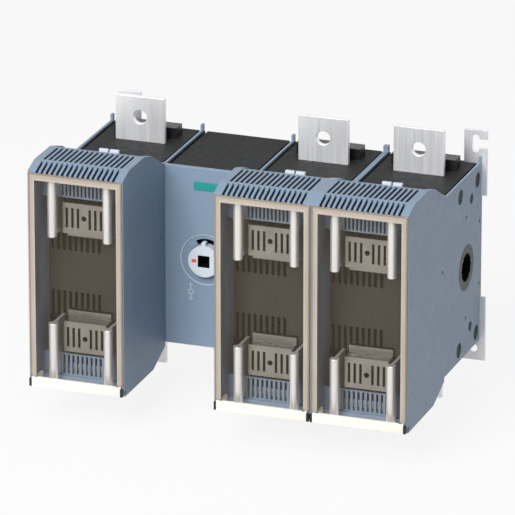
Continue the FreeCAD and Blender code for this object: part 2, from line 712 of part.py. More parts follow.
def make_fuse_contacts(index, centre):
    """Upper and lower fuse contacts with their fingers, and the guides beside them."""
    for side, name in ((1, "upper"), (-1, "lower")):
        left = f"{centre} - strap_width / 2"
        bars = []
        for part, front, back, inner, outer in (
            ("strap", "riser_front", "strap_back", "strap_inner", "strap_outer"),
            ("riser", "riser_front", "riser_back", "strap_inner", "shelf_outer"),
            ("shelf", "plate_front", "riser_back", "plate_inner", "shelf_outer"),
            ("plate", "plate_front", "plate_front - plate_thick", "plate_inner", "plate_reach"),
        ):
            low, height = upright(side, inner, outer)
            bars.append(
                box(
                    f"{part}_{name}_{index}",
                    (left, f"-{front}", low),
                    ("strap_width", f"{front} - ({back})", height),
                )
            )
        tools = [
            rod(
                f"tag_hole_{name}_{index}",
                "Y",
                (centre, "-plate_front - over", f"{side} * tag_hole_reach"),
                "tag_hole_radius",
                "plate_thick + 2 * over",
            )
        ]
        low, height = upright(side, "finger_inner", "finger_outer")
        for hand in (-1, 1):
            for step in range(int(SIZES["finger_count"][0])):
                x = f"{centre} + {hand} * (finger_first + {step} * finger_pitch) - finger_gap / 2"
                tools.append(
                    box(
                        f"finger_gap_{name}_{index}_{hand + 1}_{step}",
                        (x, "-plate_front - over", low),
                        ("finger_gap", "plate_thick + 2 * over", height),
                    )
                )
        contact = fuse(f"contact_solid_{name}_{index}", bars)
        keep(cut(f"contact_{name}_{index}", contact, tools), f"{name}_fuse_contact_{index}")
        low, height = upright(side, "guide_inner", "guide_outer")
        cheeks = []
        for hand in (-1, 1):
            middle = f"{centre} + {hand} * guide_offset"
            cheeks.append(
                box(
                    f"cheek_{name}_{index}_{hand + 1}",
                    (f"{middle} - guide_thick / 2", "-guide_front", low),
                    ("guide_thick", "guide_front - case_front", height),
                )
            )
            cheeks.append(
                rod(f"bead_{name}_{index}_{hand + 1}", "Z", (middle, "-guide_front", low), "guide_bead_radius", height)
            )
        low, height = upright(side, "guide_outer - guide_bar_height", "guide_outer")
        cheeks.append(
            box(
                f"guide_bar_{name}_{index}",
                (f"{centre} - guide_offset", "-case_front - guide_thick", low),
                ("2 * guide_offset", "guide_thick", height),
            )
        )
        keep(fuse(f"guides_{name}_{index}", cheeks), f"{name}_contact_guides_{index}")


def make_rotor(index, centre):
    """Insulating rotor on the switch shaft, and its two copper bridges in the off position."""
    drum = rod(
        f"drum_{index}",
        "X",
        (f"{centre} - rotor_half_width", "-shaft_depth", "0"),
        "rotor_radius",
        "2 * rotor_half_width",
    )
    hub = rod(
        f"hub_{index}", "X", (f"{centre} - hub_half_width", "-shaft_depth", "0"), "hub_radius", "2 * hub_half_width"
    )
    hole = box(
        f"rotor_square_{index}",
        (f"{centre} - hub_half_width - over", "-shaft_depth - shaft_side / 2", "-shaft_side / 2"),
        ("2 * hub_half_width + 2 * over", "shaft_side", "shaft_side"),
    )
    keep(cut(f"rotor_body_{index}", fuse(f"rotor_solid_{index}", [drum, hub]), [hole]), f"rotor_{index}")
    arcs = []
    turns = {"upper": "switch_angle - 180", "lower": "switch_angle - bridge_span"}
    for name, turn in turns.items():
        sector = doc.addObject("Part::Cylinder", f"bridge_sector_{name}_{index}")
        sector.Placement = Placement(Vector(), Rotation(Vector(1, 0, 0), number(turn)) * TURN_TO["X"])
        sector.setExpression("Radius", bound("bridge_radius"))
        sector.setExpression("Height", bound("2 * bridge_half_width"))
        sector.setExpression("Angle", bound("bridge_span"))
        locate(sector, (f"{centre} - bridge_half_width", "-shaft_depth", "0"))
        core = rod(
            f"bridge_core_{name}_{index}",
            "X",
            (f"{centre} - bridge_half_width - over", "-shaft_depth", "0"),
            "rotor_radius",
            "2 * bridge_half_width + 2 * over",
        )
        arcs.append(cut(f"bridge_{name}_{index}", sector, [core]))
    keep(group(f"bridges_{index}", arcs), f"contact_bridges_{index}")


def make_cover(index, centre):
    """Clear front cover with flanges on three sides and a hinge pin at each lower corner."""
    left = f"{centre} - pole_width / 2"
    inner = f"{left} + wall_thick + cover_side_gap"
    inner_width = "pole_width - 2 * wall_thick - 2 * cover_side_gap"
    front = box(
        f"cover_front_{index}",
        (f"{left} + cover_side_gap", "-cover_front", "-cover_base"),
        ("pole_width - 2 * cover_side_gap", "cover_thick", "cover_top + cover_base"),
    )
    top = box(
        f"cover_top_{index}",
        (inner, "-cover_front", "cover_flange_top - cover_thick"),
        (inner_width, "cover_front - cover_top_flange", "cover_thick"),
    )
    lip = box(
        f"cover_lip_{index}",
        (inner, "-cover_front", "-cover_base"),
        (inner_width, "cover_front - hinge_depth + lip_depth", "cover_thick"),
    )
    pieces_here = [front, top, lip]
    for name, x in (("left", inner), ("right", f"{inner} + ({inner_width}) - cover_thick")):
        pieces_here.append(
            box(
                f"cover_side_{name}_{index}",
                (x, "-cover_front", "-cover_base"),
                ("cover_thick", "cover_front - cover_flange", "cover_flange_top + cover_base"),
            )
        )
    for name, x in (("left", f"{left} + cover_side_gap"), ("right", f"{inner} + ({inner_width}) - cover_thick")):
        pieces_here.append(
            rod(
                f"hinge_pin_{name}_{index}",
                "X",
                (x, "-hinge_depth", "-hinge_drop"),
                "hinge_radius",
                "wall_thick + cover_thick",
            )
        )
    keep(fuse(f"cover_{index}", pieces_here), f"fuse_cover_{index}")


def make_label(index, centre):
    """White label strip that stands behind the ribbed top, with a notch across its middle."""
    low = "knee_top - case_inset"
    rise = f"housing_top + label_rise - ({low})"
    strip = box(
        f"label_{index}",
        (f"{centre} + label_offset - label_width / 2", "-top_back + seat_gap", low),
        ("label_width", "label_thick", rise),
    )
    notch = box(
        f"label_notch_{index}",
        (f"{centre} + label_offset - label_notch / 2", "-top_back", "housing_top - over"),
        ("label_notch", "label_thick + over", "label_rise + 2 * over"),
    )
    keep(cut(f"label_strip_{index}", strip, [notch]), f"label_strip_{index}")


for pole in (1, 2, 3):
    middle = f"pole_{pole}"
    make_housing(pole, middle)
    make_switch_case(pole, middle)
    make_terminals(pole, middle)
    make_fuse_contacts(pole, middle)
    make_rotor(pole, middle)
    make_cover(pole, middle)
    make_label(pole, middle)


def make_mechanism_front():
    """Blue front of the mechanism with a round window for the dial."""
    plate = box(
        "mech_plate",
        ("mech_left", "-case_depth", "-case_half"),
        ("mech_width", "front_rim", "case_top + case_half"),
    )
    hollow = box(
        "mech_plate_hollow",
        ("mech_left + front_thick", "-case_depth + front_thick", "-case_half + front_thick"),
        ("mech_width - 2 * front_thick", "front_rim", "case_top + case_half - 2 * front_thick"),
    )
    window = rod(
        "mech_window", "Y", ("dial_x", "-case_depth - over", "0"), "dial_radius + seat_gap", "front_thick + 2 * over"
    )
    sector = doc.addObject("Part::Cylinder", "index_window")
    sector.Placement = Placement(Vector(), TURN_TO["Y"] * Rotation(Vector(0, 0, 1), -90 - number("window_lead")))
    sector.setExpression("Radius", bound("window_reach"))
    sector.setExpression("Height", bound("front_thick + 2 * over"))
    sector.setExpression("Angle", bound("window_span"))
    locate(sector, ("dial_x", "-case_depth - over", "0"))
    recess = rod(
        "mech_recess", "Y", ("dial_x", "-case_depth - over", "0"), "dial_ring_radius", "recess_depth + over"
    )
    keep(cut("mech_front", plate, [hollow, window, sector, recess]), "mechanism_front")
    plate_label = box(
        "name_plate_box",
        ("mech_left + plate_label_left", "-case_depth - plate_label_thick", "plate_label_top - plate_label_height"),
        ("plate_label_width", "plate_label_thick", "plate_label_height"),
    )
    keep(plate_label, "name_plate")


def make_mechanism_case():
    """Dark case of the mechanism, in two halves, with the chamber for the bevel gears."""
    block = box(
        "mech_block",
        ("mech_left", "-case_depth + front_rim", "-case_edge"),
        ("mech_width", "case_depth - front_rim", "case_roof + case_edge"),
    )
    chamber = box(
        "gear_chamber",
        ("dial_x - gearbox_half", "-case_depth + front_rim + bearing_thick", "-gearbox_half_height"),
        (
            "2 * gearbox_half",
            "case_depth - front_rim - bearing_thick - gearbox_back",
            "2 * gearbox_half_height",
        ),
    )
    bearing = rod(
        "mech_bearing", "Y", ("dial_x", "-case_depth", "0"), "bearing_radius + fit_gap", "front_rim + bearing_thick + over"
    )
    grooves = [
        box(
            f"mech_groove_{name}_{hand}",
            (x, "-case_depth + front_rim", low),
            ("wall_thick / 2", "case_depth", "groove_depth + over"),
        )
        for name, low in (("top", "case_roof - groove_depth"), ("base", "-case_edge - over"))
        for hand, x in (
            ("left", "mech_left + lip_thick"),
            ("right", "mech_right - lip_thick - wall_thick / 2"),
        )
    ]
    whole = cut("mech_case_whole", block, [chamber, bearing, shaft_bore] + grooves + rod_holes)
    for hand, edge in (("left", "mech_left"), ("right", "mech_left + mech_width / 2")):
        half = box(
            f"mech_side_{hand}",
            (edge, "-case_depth", "-case_half"),
            ("mech_width / 2", "case_depth", "case_top + case_half"),
        )
        keep(common(f"mech_case_{hand}", whole, half), f"mechanism_case_{hand}")


def gear_shape(phase):
    """A straight bevel gear about +Z, its teeth pointing at the apex in the origin."""
    pitch_angle = math.radians(number("gear_pitch_angle"))
    addendum = math.radians(number("gear_addendum"))
    dedendum = math.radians(number("gear_dedendum"))
    outer = number("gear_pitch_radius")
    inner = outer - number("gear_face")
    teeth = int(number("gear_teeth"))
    tip_slope = math.tan(pitch_angle + addendum)
    blank = Part.makeCone(inner * tip_slope, outer * tip_slope, outer - inner, Vector(0, 0, inner))
    hub = Part.makeCylinder(outer * math.tan(pitch_angle - dedendum), number("gear_hub"), Vector(0, 0, outer))
    pitch = 2 * math.pi / teeth
    root_half = number("gear_root_share") * pitch
    top_half = number("gear_top_share") * pitch
    root_angle = pitch_angle - dedendum
    top_angle = pitch_angle + addendum + math.radians(number("gear_clear"))
    grooves = []
    for step in range(teeth):
        turn = phase + pitch * step
        rings = []
        for height in (number("gear_tool_near") * inner, number("gear_tool_far") * outer):
            corners = []
            for angle, half in (
                (root_angle, -root_half),
                (root_angle, root_half),
                (top_angle, top_half),
                (top_angle, -top_half),
            ):
                radius = height * math.tan(angle)
                corners.append(Vector(radius * math.cos(turn + half), radius * math.sin(turn + half), height))
            rings.append(Part.makePolygon(corners + [corners[0]]))
        grooves.append(Part.makeLoft(rings, True, True))
    return blank.cut(grooves).fuse(hub).removeSplitter()


def bevel_gear(name, phase, turn):
    """A bevel gear turned into place about the crossing of the two shafts."""
    item = doc.addObject("Part::Feature", name)
    item.Shape = gear_shape(phase)
    item.Placement = Placement(Vector(), turn)
    return locate(item, ("dial_x", "-shaft_depth", "0"))


def make_drive():
    """Dial, drive shaft, bevel gears and the square switch shaft with its end sockets."""
    half_tooth = math.pi / int(number("gear_teeth"))
    square = box(
        "gear_square",
        ("dial_x - 2 * gear_pitch_radius", "-shaft_depth - shaft_side / 2", "-shaft_side / 2"),
        ("4 * gear_pitch_radius", "shaft_side", "shaft_side"),
    )
    shaft_gear = bevel_gear("shaft_gear", 0.0, Rotation(Vector(0, 1, 0), -90))
    keep(cut("shaft_gear_bored", shaft_gear, [square]), "shaft_bevel_gear")
    keep(bevel_gear("front_gear", half_tooth, Rotation(Vector(1, 0, 0), 90)), "drive_bevel_gear")
    key = box(
        "key_socket",
        ("dial_x - key_side / 2", "-dial_front - over", "-key_side / 2"),
        ("key_side", "key_depth + over", "key_side"),
    )
    spindle = rod(
        "spindle",
        "Y",
        ("dial_x", "-dial_back", "0"),
        "bearing_radius",
        "dial_back - shaft_depth - gear_pitch_radius - gear_hub",
    )
    keep(cut("drive_spindle", spindle, [key]), "drive_shaft")
    disc = rod("dial_disc", "Y", ("dial_x", "-dial_front", "0"), "dial_radius", "dial_front - dial_back")
    index = box(
        "dial_index",
        ("dial_x - index_width / 2", "-dial_front", "dial_radius - 2 * over"),
        ("index_width", "dial_front - case_depth - seat_gap", "index_reach - dial_radius + 2 * over"),
    )
    keep(cut("dial_body", fuse("dial_solid", [disc, index]), [key]), "dial")
    shaft = box(
        "switch_shaft",
        ("-row_half + socket_length", "-shaft_depth - shaft_side / 2", "-shaft_side / 2"),
        ("2 * row_half - 2 * socket_length", "shaft_side", "shaft_side"),
    )
    keep(shaft, "main_shaft")
    for hand, low, mouth in (
        ("left", "-row_half", "-row_half - over"),
        ("right", "row_half - socket_length", "row_half - socket_depth"),
    ):
        ring = rod(f"socket_ring_{hand}", "X", (low, "-shaft_depth", "0"), "socket_radius", "socket_length")
        bores = []
        for turn in (0, 30):
            bore = doc.addObject("Part::Prism", f"socket_bore_{hand}_{turn}")
            bore.Polygon = 6
            bore.Placement = Placement(Vector(), TURN_TO["X"] * Rotation(Vector(0, 0, 1), turn))
            bore.setExpression("Circumradius", bound("socket_flats / sqrt(3)"))
            bore.setExpression("Height", bound("socket_depth + over"))
            bores.append(locate(bore, (mouth, "-shaft_depth", "0")))
        keep(cut(f"socket_{hand}", ring, bores), f"drive_socket_{hand}")


def make_feet():
    """Four sheet feet behind the end poles: hooked slots above, round holes below."""
    screws = []
    for level, low in FEET_LOW.items():
        for hand, left in FEET_LEFT.items():
            plate = box(
                f"foot_blank_{level}_{hand}",
                (left, "-foot_thick", low),
                ("foot_width", "foot_thick", "foot_length"),
            )
            middle = f"{left} + foot_width / 2"
            spot = (f"{left} + screw_side", "0", screw_height(level))
            tools = [cone(f"sink_{level}_{hand}", spot, "screw_head_radius", "screw_radius", "foot_thick")]
            if level == "upper":
                tools += hooked_slot(hand, middle)
            else:
                tools.append(
                    rod(
                        f"fixing_{hand}",
                        "Y",
                        (middle, "-foot_thick - over", "-fixing_reach"),
                        "fixing_radius",
                        "foot_thick + 2 * over",
                    )
                )
            keep(cut(f"foot_plate_{level}_{hand}", plate, tools), f"foot_{level}_{hand}")
            screws.append(make_screw(f"{level}_{hand}", spot))
    keep(group("screws", screws), "foot_screws")


def hooked_slot(hand, middle):
    """Tools for an upright slot with round ends and a mouth to the right."""
    low = "hook_reach - hook_height / 2 + hook_width / 2"
    straight = "hook_height - hook_width"
    tools = [
        box(
            f"hook_{hand}",
            (f"{middle} - hook_width / 2", "-foot_thick - over", low),
            ("hook_width", "foot_thick + 2 * over", straight),
        ),
        box(
            f"hook_mouth_{hand}",
            (middle, "-foot_thick - over", "hook_reach - hook_mouth / 2"),
            ("foot_width", "foot_thick + 2 * over", "hook_mouth"),
        ),
    ]
    for name, z in (("low", low), ("high", f"{low} + {straight}")):
        tools.append(
            rod(f"hook_{name}_{hand}", "Y", (middle, "-foot_thick - over", z), "hook_width / 2", "foot_thick + 2 * over")
        )
    return tools


def make_screw(name, spot):
    """A countersunk screw that holds a foot to the case."""
    head = cone(f"screw_head_{name}", spot, "screw_head_radius", "screw_radius", "foot_thick")
    shank = rod(
        f"screw_shank_{name}",
        "Y",
        (spot[0], "-screw_length", spot[2]),
        "screw_radius",
        "screw_length - foot_thick / 2",
    )
    return fuse(f"screw_{name}", [head, shank])


def make_tie_rods():
    """Four rods that clamp the modules together, with a head at each end."""
    rods = []
    for index, (y, z) in enumerate(ROD_SPOTS):
        bar = rod(
            f"tie_bar_{index}",
            "X",
            ("-row_half + wall_thick - rod_head_length", y, z),
            "rod_radius",
            "2 * (row_half - wall_thick + rod_head_length)",
        )
        heads = [
            rod(f"tie_head_{hand}_{index}", "X", (x, y, z), "rod_head_radius", "rod_head_length")
            for hand, x in (
                ("left", "-row_half + wall_thick - rod_head_length + seat_gap"),
                ("right", "row_half - wall_thick - seat_gap"),
            )
        ]
        rods.append(fuse(f"tie_rod_{index}", [bar] + heads))
    keep(group("tie_rods_group", rods), "tie_rods")


make_mechanism_front()
make_mechanism_case()
make_drive()
make_feet()
make_tie_rods()
doc.recompute()

# Nothing is written unless every object is sound
for item in doc.Objects:
    if "Invalid" in item.State or "Error" in item.State:
        raise RuntimeError(f"{item.Name} failed: {item.State}")
for piece in pieces:
    if piece.Shape.isNull() or not piece.Shape.isValid() or piece.Shape.Volume <= 0:
        raise RuntimeError(f"{piece.Label} has no valid shape")
for piece in pieces:
    piece.Shape.exportStep(os.path.join("parts", piece.Label + ".step"))
print(len(pieces), "pieces")
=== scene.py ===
"""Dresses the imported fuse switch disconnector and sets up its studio.

The parts get their finishes and rounded edges, the covers their frames and the front its printed marks.
"""

import json
import logging
import math
from collections.abc import Callable
from dataclasses import dataclass, field
from enum import Enum

import bpy
from mathutils import Matrix, Vector

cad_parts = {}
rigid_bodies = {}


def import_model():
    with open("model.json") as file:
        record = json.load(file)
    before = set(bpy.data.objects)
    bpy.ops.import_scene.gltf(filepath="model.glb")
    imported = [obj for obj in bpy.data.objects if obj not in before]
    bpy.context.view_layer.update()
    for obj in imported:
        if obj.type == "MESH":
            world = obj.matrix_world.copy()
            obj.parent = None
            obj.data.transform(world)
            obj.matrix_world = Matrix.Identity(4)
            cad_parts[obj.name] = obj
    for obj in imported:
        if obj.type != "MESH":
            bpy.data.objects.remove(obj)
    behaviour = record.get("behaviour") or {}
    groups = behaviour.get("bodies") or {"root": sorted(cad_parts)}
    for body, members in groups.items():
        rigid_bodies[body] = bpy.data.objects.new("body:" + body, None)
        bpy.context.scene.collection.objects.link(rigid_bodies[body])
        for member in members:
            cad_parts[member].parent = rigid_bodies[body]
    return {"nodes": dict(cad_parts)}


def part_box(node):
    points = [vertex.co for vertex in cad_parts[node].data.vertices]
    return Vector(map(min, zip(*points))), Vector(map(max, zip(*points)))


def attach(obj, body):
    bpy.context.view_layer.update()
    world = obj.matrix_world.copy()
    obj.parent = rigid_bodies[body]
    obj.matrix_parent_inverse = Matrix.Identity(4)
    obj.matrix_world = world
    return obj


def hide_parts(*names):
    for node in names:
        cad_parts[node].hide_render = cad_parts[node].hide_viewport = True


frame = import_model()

LOG = logging.getLogger("disconnector")
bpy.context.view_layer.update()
MM = 0.001
POLES = (1, 2, 3)
HANDS = ("left", "right")

Point = tuple[float, float, float]
FaceTest = Callable[[Vector, Vector], bool]

# A face looks along an axis where its normal's part along that axis is more than this.
FACING = 0.9

# The colour sockets of a Mix node, whose names its other kinds of value share.
FIRST, SECOND, MIXED = 6, 7, 2

# Most values of a noise lie between these two.
NOISE_LOW, NOISE_HIGH = 0.3, 0.7

# How many finer layers lie over a noise's patches.
SOFT, FINE, FINEST = 2.0, 3.0, 4.0


class Axis(Enum):
    """The direction that a cutting plane faces."""

    ACROSS = (1.0, 0.0, 0.0)
    UP = (0.0, 0.0, 1.0)


def linear(code: str) -> tuple[float, float, float, float]:
    """Turns an sRGB hex colour to the linear values that a shader takes, by the sRGB standard's curve.

    Args:
        code: The colour as a hash and six hex digits.

    Returns:
        Linear red, green and blue, and a full alpha.
    """
    channels = [int(code[start:start + 2], 16) / 255 for start in (1, 3, 5)]
    return (*(c / 12.92 if c <= 0.04045 else ((c + 0.055) / 1.055) ** 2.4 for c in channels), 1.0)


def per_mm(size: float) -> float:
    """The texture scale, on coordinates in metres, at which one feature is this many millimetres."""
    return 1.0 / (size * MM)


def add(
    tree: bpy.types.NodeTree, kind: str, inputs: dict | None = None, **settings: object
) -> bpy.types.Node:
    """Adds a node with its settings, and sets or links its inputs.

    Args:
        tree: The node tree that it goes in.
        kind: Blender's name of the node's type.
        inputs: Values or sockets by the input's name or number.
        settings: The node's own properties.

    Returns:
        The new node.
    """
    node = tree.nodes.new(kind)
    for key, value in settings.items():
        setattr(node, key, value)
    for key, value in (inputs or {}).items():
        if isinstance(value, bpy.types.NodeSocket):
            tree.links.new(value, node.inputs[key])
        else:
            node.inputs[key].default_value = value
    return node


def new_material(name: str) -> tuple[bpy.types.Material, bpy.types.NodeTree, bpy.types.NodeSocket]:
    """An empty node material.

    Args:
        name: The finish's name.

    Returns:
        The material, its tree, and the socket of object coordinates in metres.
    """
    material = bpy.data.materials.new(name)
    material.use_nodes = True
    tree = material.node_tree
    tree.nodes.clear()
    where = add(tree, "ShaderNodeTexCoord").outputs["Object"]
    return material, tree, where


def mottled(
    tree: bpy.types.NodeTree,
    where: bpy.types.NodeSocket,
    tones: tuple[str, str],
    patch_mm: float,
    layers: float = SOFT,
) -> bpy.types.NodeSocket:
    """Two close tones that drift into each other in soft patches.

    Args:
        tree: The material's tree.
        where: The coordinates.
        tones: The two tones in sRGB hex.
        patch_mm: The width of a patch.
        layers: How many finer layers lie over the patches.

    Returns:
        The socket of the colour.
    """
    patches = add(
        tree, "ShaderNodeTexNoise", {"Vector": where, "Scale": per_mm(patch_mm), "Detail": layers}
    )
    ends = {FIRST: linear(tones[0]), SECOND: linear(tones[1])}
    return add(
        tree, "ShaderNodeMix", {"Factor": patches.outputs["Fac"], **ends}, data_type="RGBA"
    ).outputs[MIXED]


def uneven(
    tree: bpy.types.NodeTree, pattern: bpy.types.NodeSocket, roughness: float
) -> bpy.types.NodeSocket:
    """A roughness that a noise makes a little smoother here and duller there.

    Args:
        tree: The material's tree.
        pattern: The noise.
        roughness: The roughness that it varies.

    Returns:
        The socket of the roughness.
    """
    smoother, duller = 0.05, 0.06
    limits = {
        "From Min": NOISE_LOW,
        "From Max": NOISE_HIGH,
        "To Min": roughness - smoother,
        "To Max": roughness + duller,
    }
    return add(tree, "ShaderNodeMapRange", {"Value": pattern, **limits}).outputs["Result"]


def seen_directly(tree: bpy.types.NodeTree) -> bpy.types.NodeSocket:
    """Tells what the camera, a reflection or clear plastic shows from light that falls on something.

    Args:
        tree: The tree of a material or the world.

    Returns:
        A socket that is 1 for what is seen, and 0 for the light.
    """
    ray = add(tree, "ShaderNodeLightPath").outputs
    seen = ray["Is Camera Ray"]
    for kind in ("Is Transmission Ray", "Is Glossy Ray"):
        seen = add(tree, "ShaderNodeMath", {0: seen, 1: ray[kind]}, operation="MAXIMUM").outputs[0]
    return seen


@dataclass(frozen=True)
class Moulded:
    """Injection-moulded thermoplastic: matt, with a spark-eroded grain, faint flow shading, and a painted
    highlight that makes its edges paler.

    The grain of the real mould is near 0.2 mm, too fine to show, so it is drawn at grain_mm. The painted
    highlight lies on an edge where its rounded normal leans from the face's own, from highlight_from (as a
    cosine) to highlight_full, and there the edge takes on the paler colour by the share highlight_share.
    """

    name: str
    colour: str
    shade: str
    # The paler colour of the painted highlight along the edges.
    edge: str
    roughness: float
    specular: float = 0.5
    ior: float = 1.52
    flow_mm: float = 38.0
    sheen_mm: float = 7.0
    grain_mm: float = 0.7
    depth_mm: float = 0.03
    relief: float = 0.35
    edge_mm: float = 0.8
    edge_samples: int = 4
    # The painted highlight on the edges: the cosine where it starts, the cosine where it is full, and how
    # much of the paler colour it takes.
    highlight_from: float = 0.99
    highlight_full: float = 0.80
    highlight_share: float = 0.5

    def build(self) -> bpy.types.Material:
        """Makes the material.

        Returns:
            The material, its edges rounded in the shading and made a little paler by a painted highlight.
        """
        material, tree, where = new_material(self.name)
        body = mottled(tree, where, (self.colour, self.shade), self.flow_mm, layers=FINE)
        rounded = add(
            tree, "ShaderNodeBevel", {"Radius": self.edge_mm * MM}, samples=self.edge_samples
        ).outputs["Normal"]
        # Painted highlight: the colour turns paler along the rounded edges.
        edge_highlit = self.paint_edge_highlight(tree, body, rounded)
        patch = add(
            tree, "ShaderNodeTexNoise", {"Vector": where, "Scale": per_mm(self.sheen_mm), "Detail": SOFT}
        )
        grain = add(
            tree, "ShaderNodeTexNoise", {"Vector": where, "Scale": per_mm(self.grain_mm), "Detail": FINEST}
        )
        relief = add(
            tree,
            "ShaderNodeBump",
            {
                "Height": grain.outputs["Fac"],
                "Strength": self.relief,
                "Distance": self.depth_mm * MM,
                "Normal": rounded,
            },
        )
        shader = add(
            tree,
            "ShaderNodeBsdfPrincipled",
            {
                "Base Color": edge_highlit,
                "Roughness": uneven(tree, patch.outputs["Fac"], self.roughness),
                "Normal": relief.outputs["Normal"],
                "IOR": self.ior,
                "Specular IOR Level": self.specular,
            },
        )
        add(tree, "ShaderNodeOutputMaterial", {"Surface": shader.outputs[0]})
        return material

    def paint_edge_highlight(
        self, tree: bpy.types.NodeTree, body: bpy.types.NodeSocket, rounded: bpy.types.NodeSocket
    ) -> bpy.types.NodeSocket:
        """Paints a highlight along the edges by making the colour paler there.

        Args:
            tree: The material's tree.
            body: The colour of the faces.
            rounded: The normal with its edges rounded.

        Returns:
            The socket of the colour.
        """
        flat = add(tree, "ShaderNodeNewGeometry").outputs["True Normal"]
        turn = add(tree, "ShaderNodeVectorMath", {0: rounded, 1: flat}, operation="DOT_PRODUCT")
        limits = {"From Min": self.highlight_from, "From Max": self.highlight_full, "To Max": self.highlight_share}
        highlit = add(tree, "ShaderNodeMapRange", {"Value": turn.outputs["Value"], "To Min": 0.0, **limits})
        ends = {FIRST: body, SECOND: linear(self.edge)}
        return add(
            tree, "ShaderNodeMix", {"Factor": highlit.outputs["Result"], **ends}, data_type="RGBA"
        ).outputs[MIXED]


class Lay(Enum):
    """The way that a metal's rolling or turning marks run, as the stretch of a noise along X, Y and Z."""

    ACROSS = (0.03, 1.0, 1.0)
    UPRIGHT = (1.0, 1.0, 0.03)


@dataclass(frozen=True)
class Metal:
    """Plated or plain metal with rolling or turning marks and a cloudy sheen.

    The marks of real rolled strip are some 0.1 mm apart, too fine to show, so they are drawn coarser,
    at streak_mm.
    """

    name: str
    colour: str
    shade: str
    roughness: float
    lay: Lay
    metallic: float = 1.0
    streak_mm: float = 1.6
    cloud_mm: float = 22.0
    depth_mm: float = 0.03
    relief: float = 0.07

    def build(self) -> bpy.types.Material:
        """Makes the material.

        Returns:
            The material, with marks along its lay.
        """
        material, tree, where = new_material(self.name)
        run = add(tree, "ShaderNodeMapping", {"Vector": where, "Scale": self.lay.value})
        streak = add(
            tree,
            "ShaderNodeTexNoise",
            {"Vector": run.outputs["Vector"], "Scale": per_mm(self.streak_mm), "Detail": FINE},
        ).outputs["Fac"]
        relief = add(
            tree,
            "ShaderNodeBump",
            {"Height": streak, "Strength": self.relief, "Distance": self.depth_mm * MM},
        )
        shader = add(
            tree,
            "ShaderNodeBsdfPrincipled",
            {
                "Base Color": mottled(tree, where, (self.colour, self.shade), self.cloud_mm),
                "Roughness": uneven(tree, streak, self.roughness),
                "Normal": relief.outputs["Normal"],
                "Metallic": self.metallic,
            },
        )
        add(tree, "ShaderNodeOutputMaterial", {"Surface": shader.outputs[0]})
        return material


@dataclass(frozen=True)
class ClearSheet:
    """Polycarbonate: glossy, faintly rippled, and clear or milky by its opacity."""

    name: str
    colour: str
    shade: str
    opacity: float
    roughness: float
    ior: float = 1.58
    cloud_mm: float = 45.0
    ripple_mm: float = 30.0
    depth_mm: float = 0.2
    relief: float = 0.05

    def build(self) -> bpy.types.Material:
        """Makes the material.

        Returns:
            The see-through material, faintly rippled as a moulded sheet is.
        """
        material, tree, where = new_material(self.name)
        wave = add(tree, "ShaderNodeTexNoise", {"Vector": where, "Scale": per_mm(self.ripple_mm)})
        ripple = add(
            tree,
            "ShaderNodeBump",
            {"Height": wave.outputs["Fac"], "Strength": self.relief, "Distance": self.depth_mm * MM},
        )
        shader = add(
            tree,
            "ShaderNodeBsdfPrincipled",
            {
                "Base Color": mottled(tree, where, (self.colour, self.shade), self.cloud_mm),
                "Roughness": self.roughness,
                "Alpha": self.opacity,
                "IOR": self.ior,
                "Normal": ripple.outputs["Normal"],
            },
        )
        add(tree, "ShaderNodeOutputMaterial", {"Surface": shader.outputs[0]})
        return material


@dataclass(frozen=True)
class Ink:
    """Pad-printed ink or printed film: flat and matt, a little uneven in its tone."""

    name: str
    colour: str
    shade: str
    roughness: float = 0.6
    patch_mm: float = 2.5

    def build(self) -> bpy.types.Material:
        """Makes the material.

        Returns:
            The flat material.
        """
        material, tree, where = new_material(self.name)
        tone = mottled(tree, where, (self.colour, self.shade), self.patch_mm, layers=FINE)
        shader = add(tree, "ShaderNodeBsdfPrincipled", {"Base Color": tone, "Roughness": self.roughness})
        add(tree, "ShaderNodeOutputMaterial", {"Surface": shader.outputs[0]})
        return material


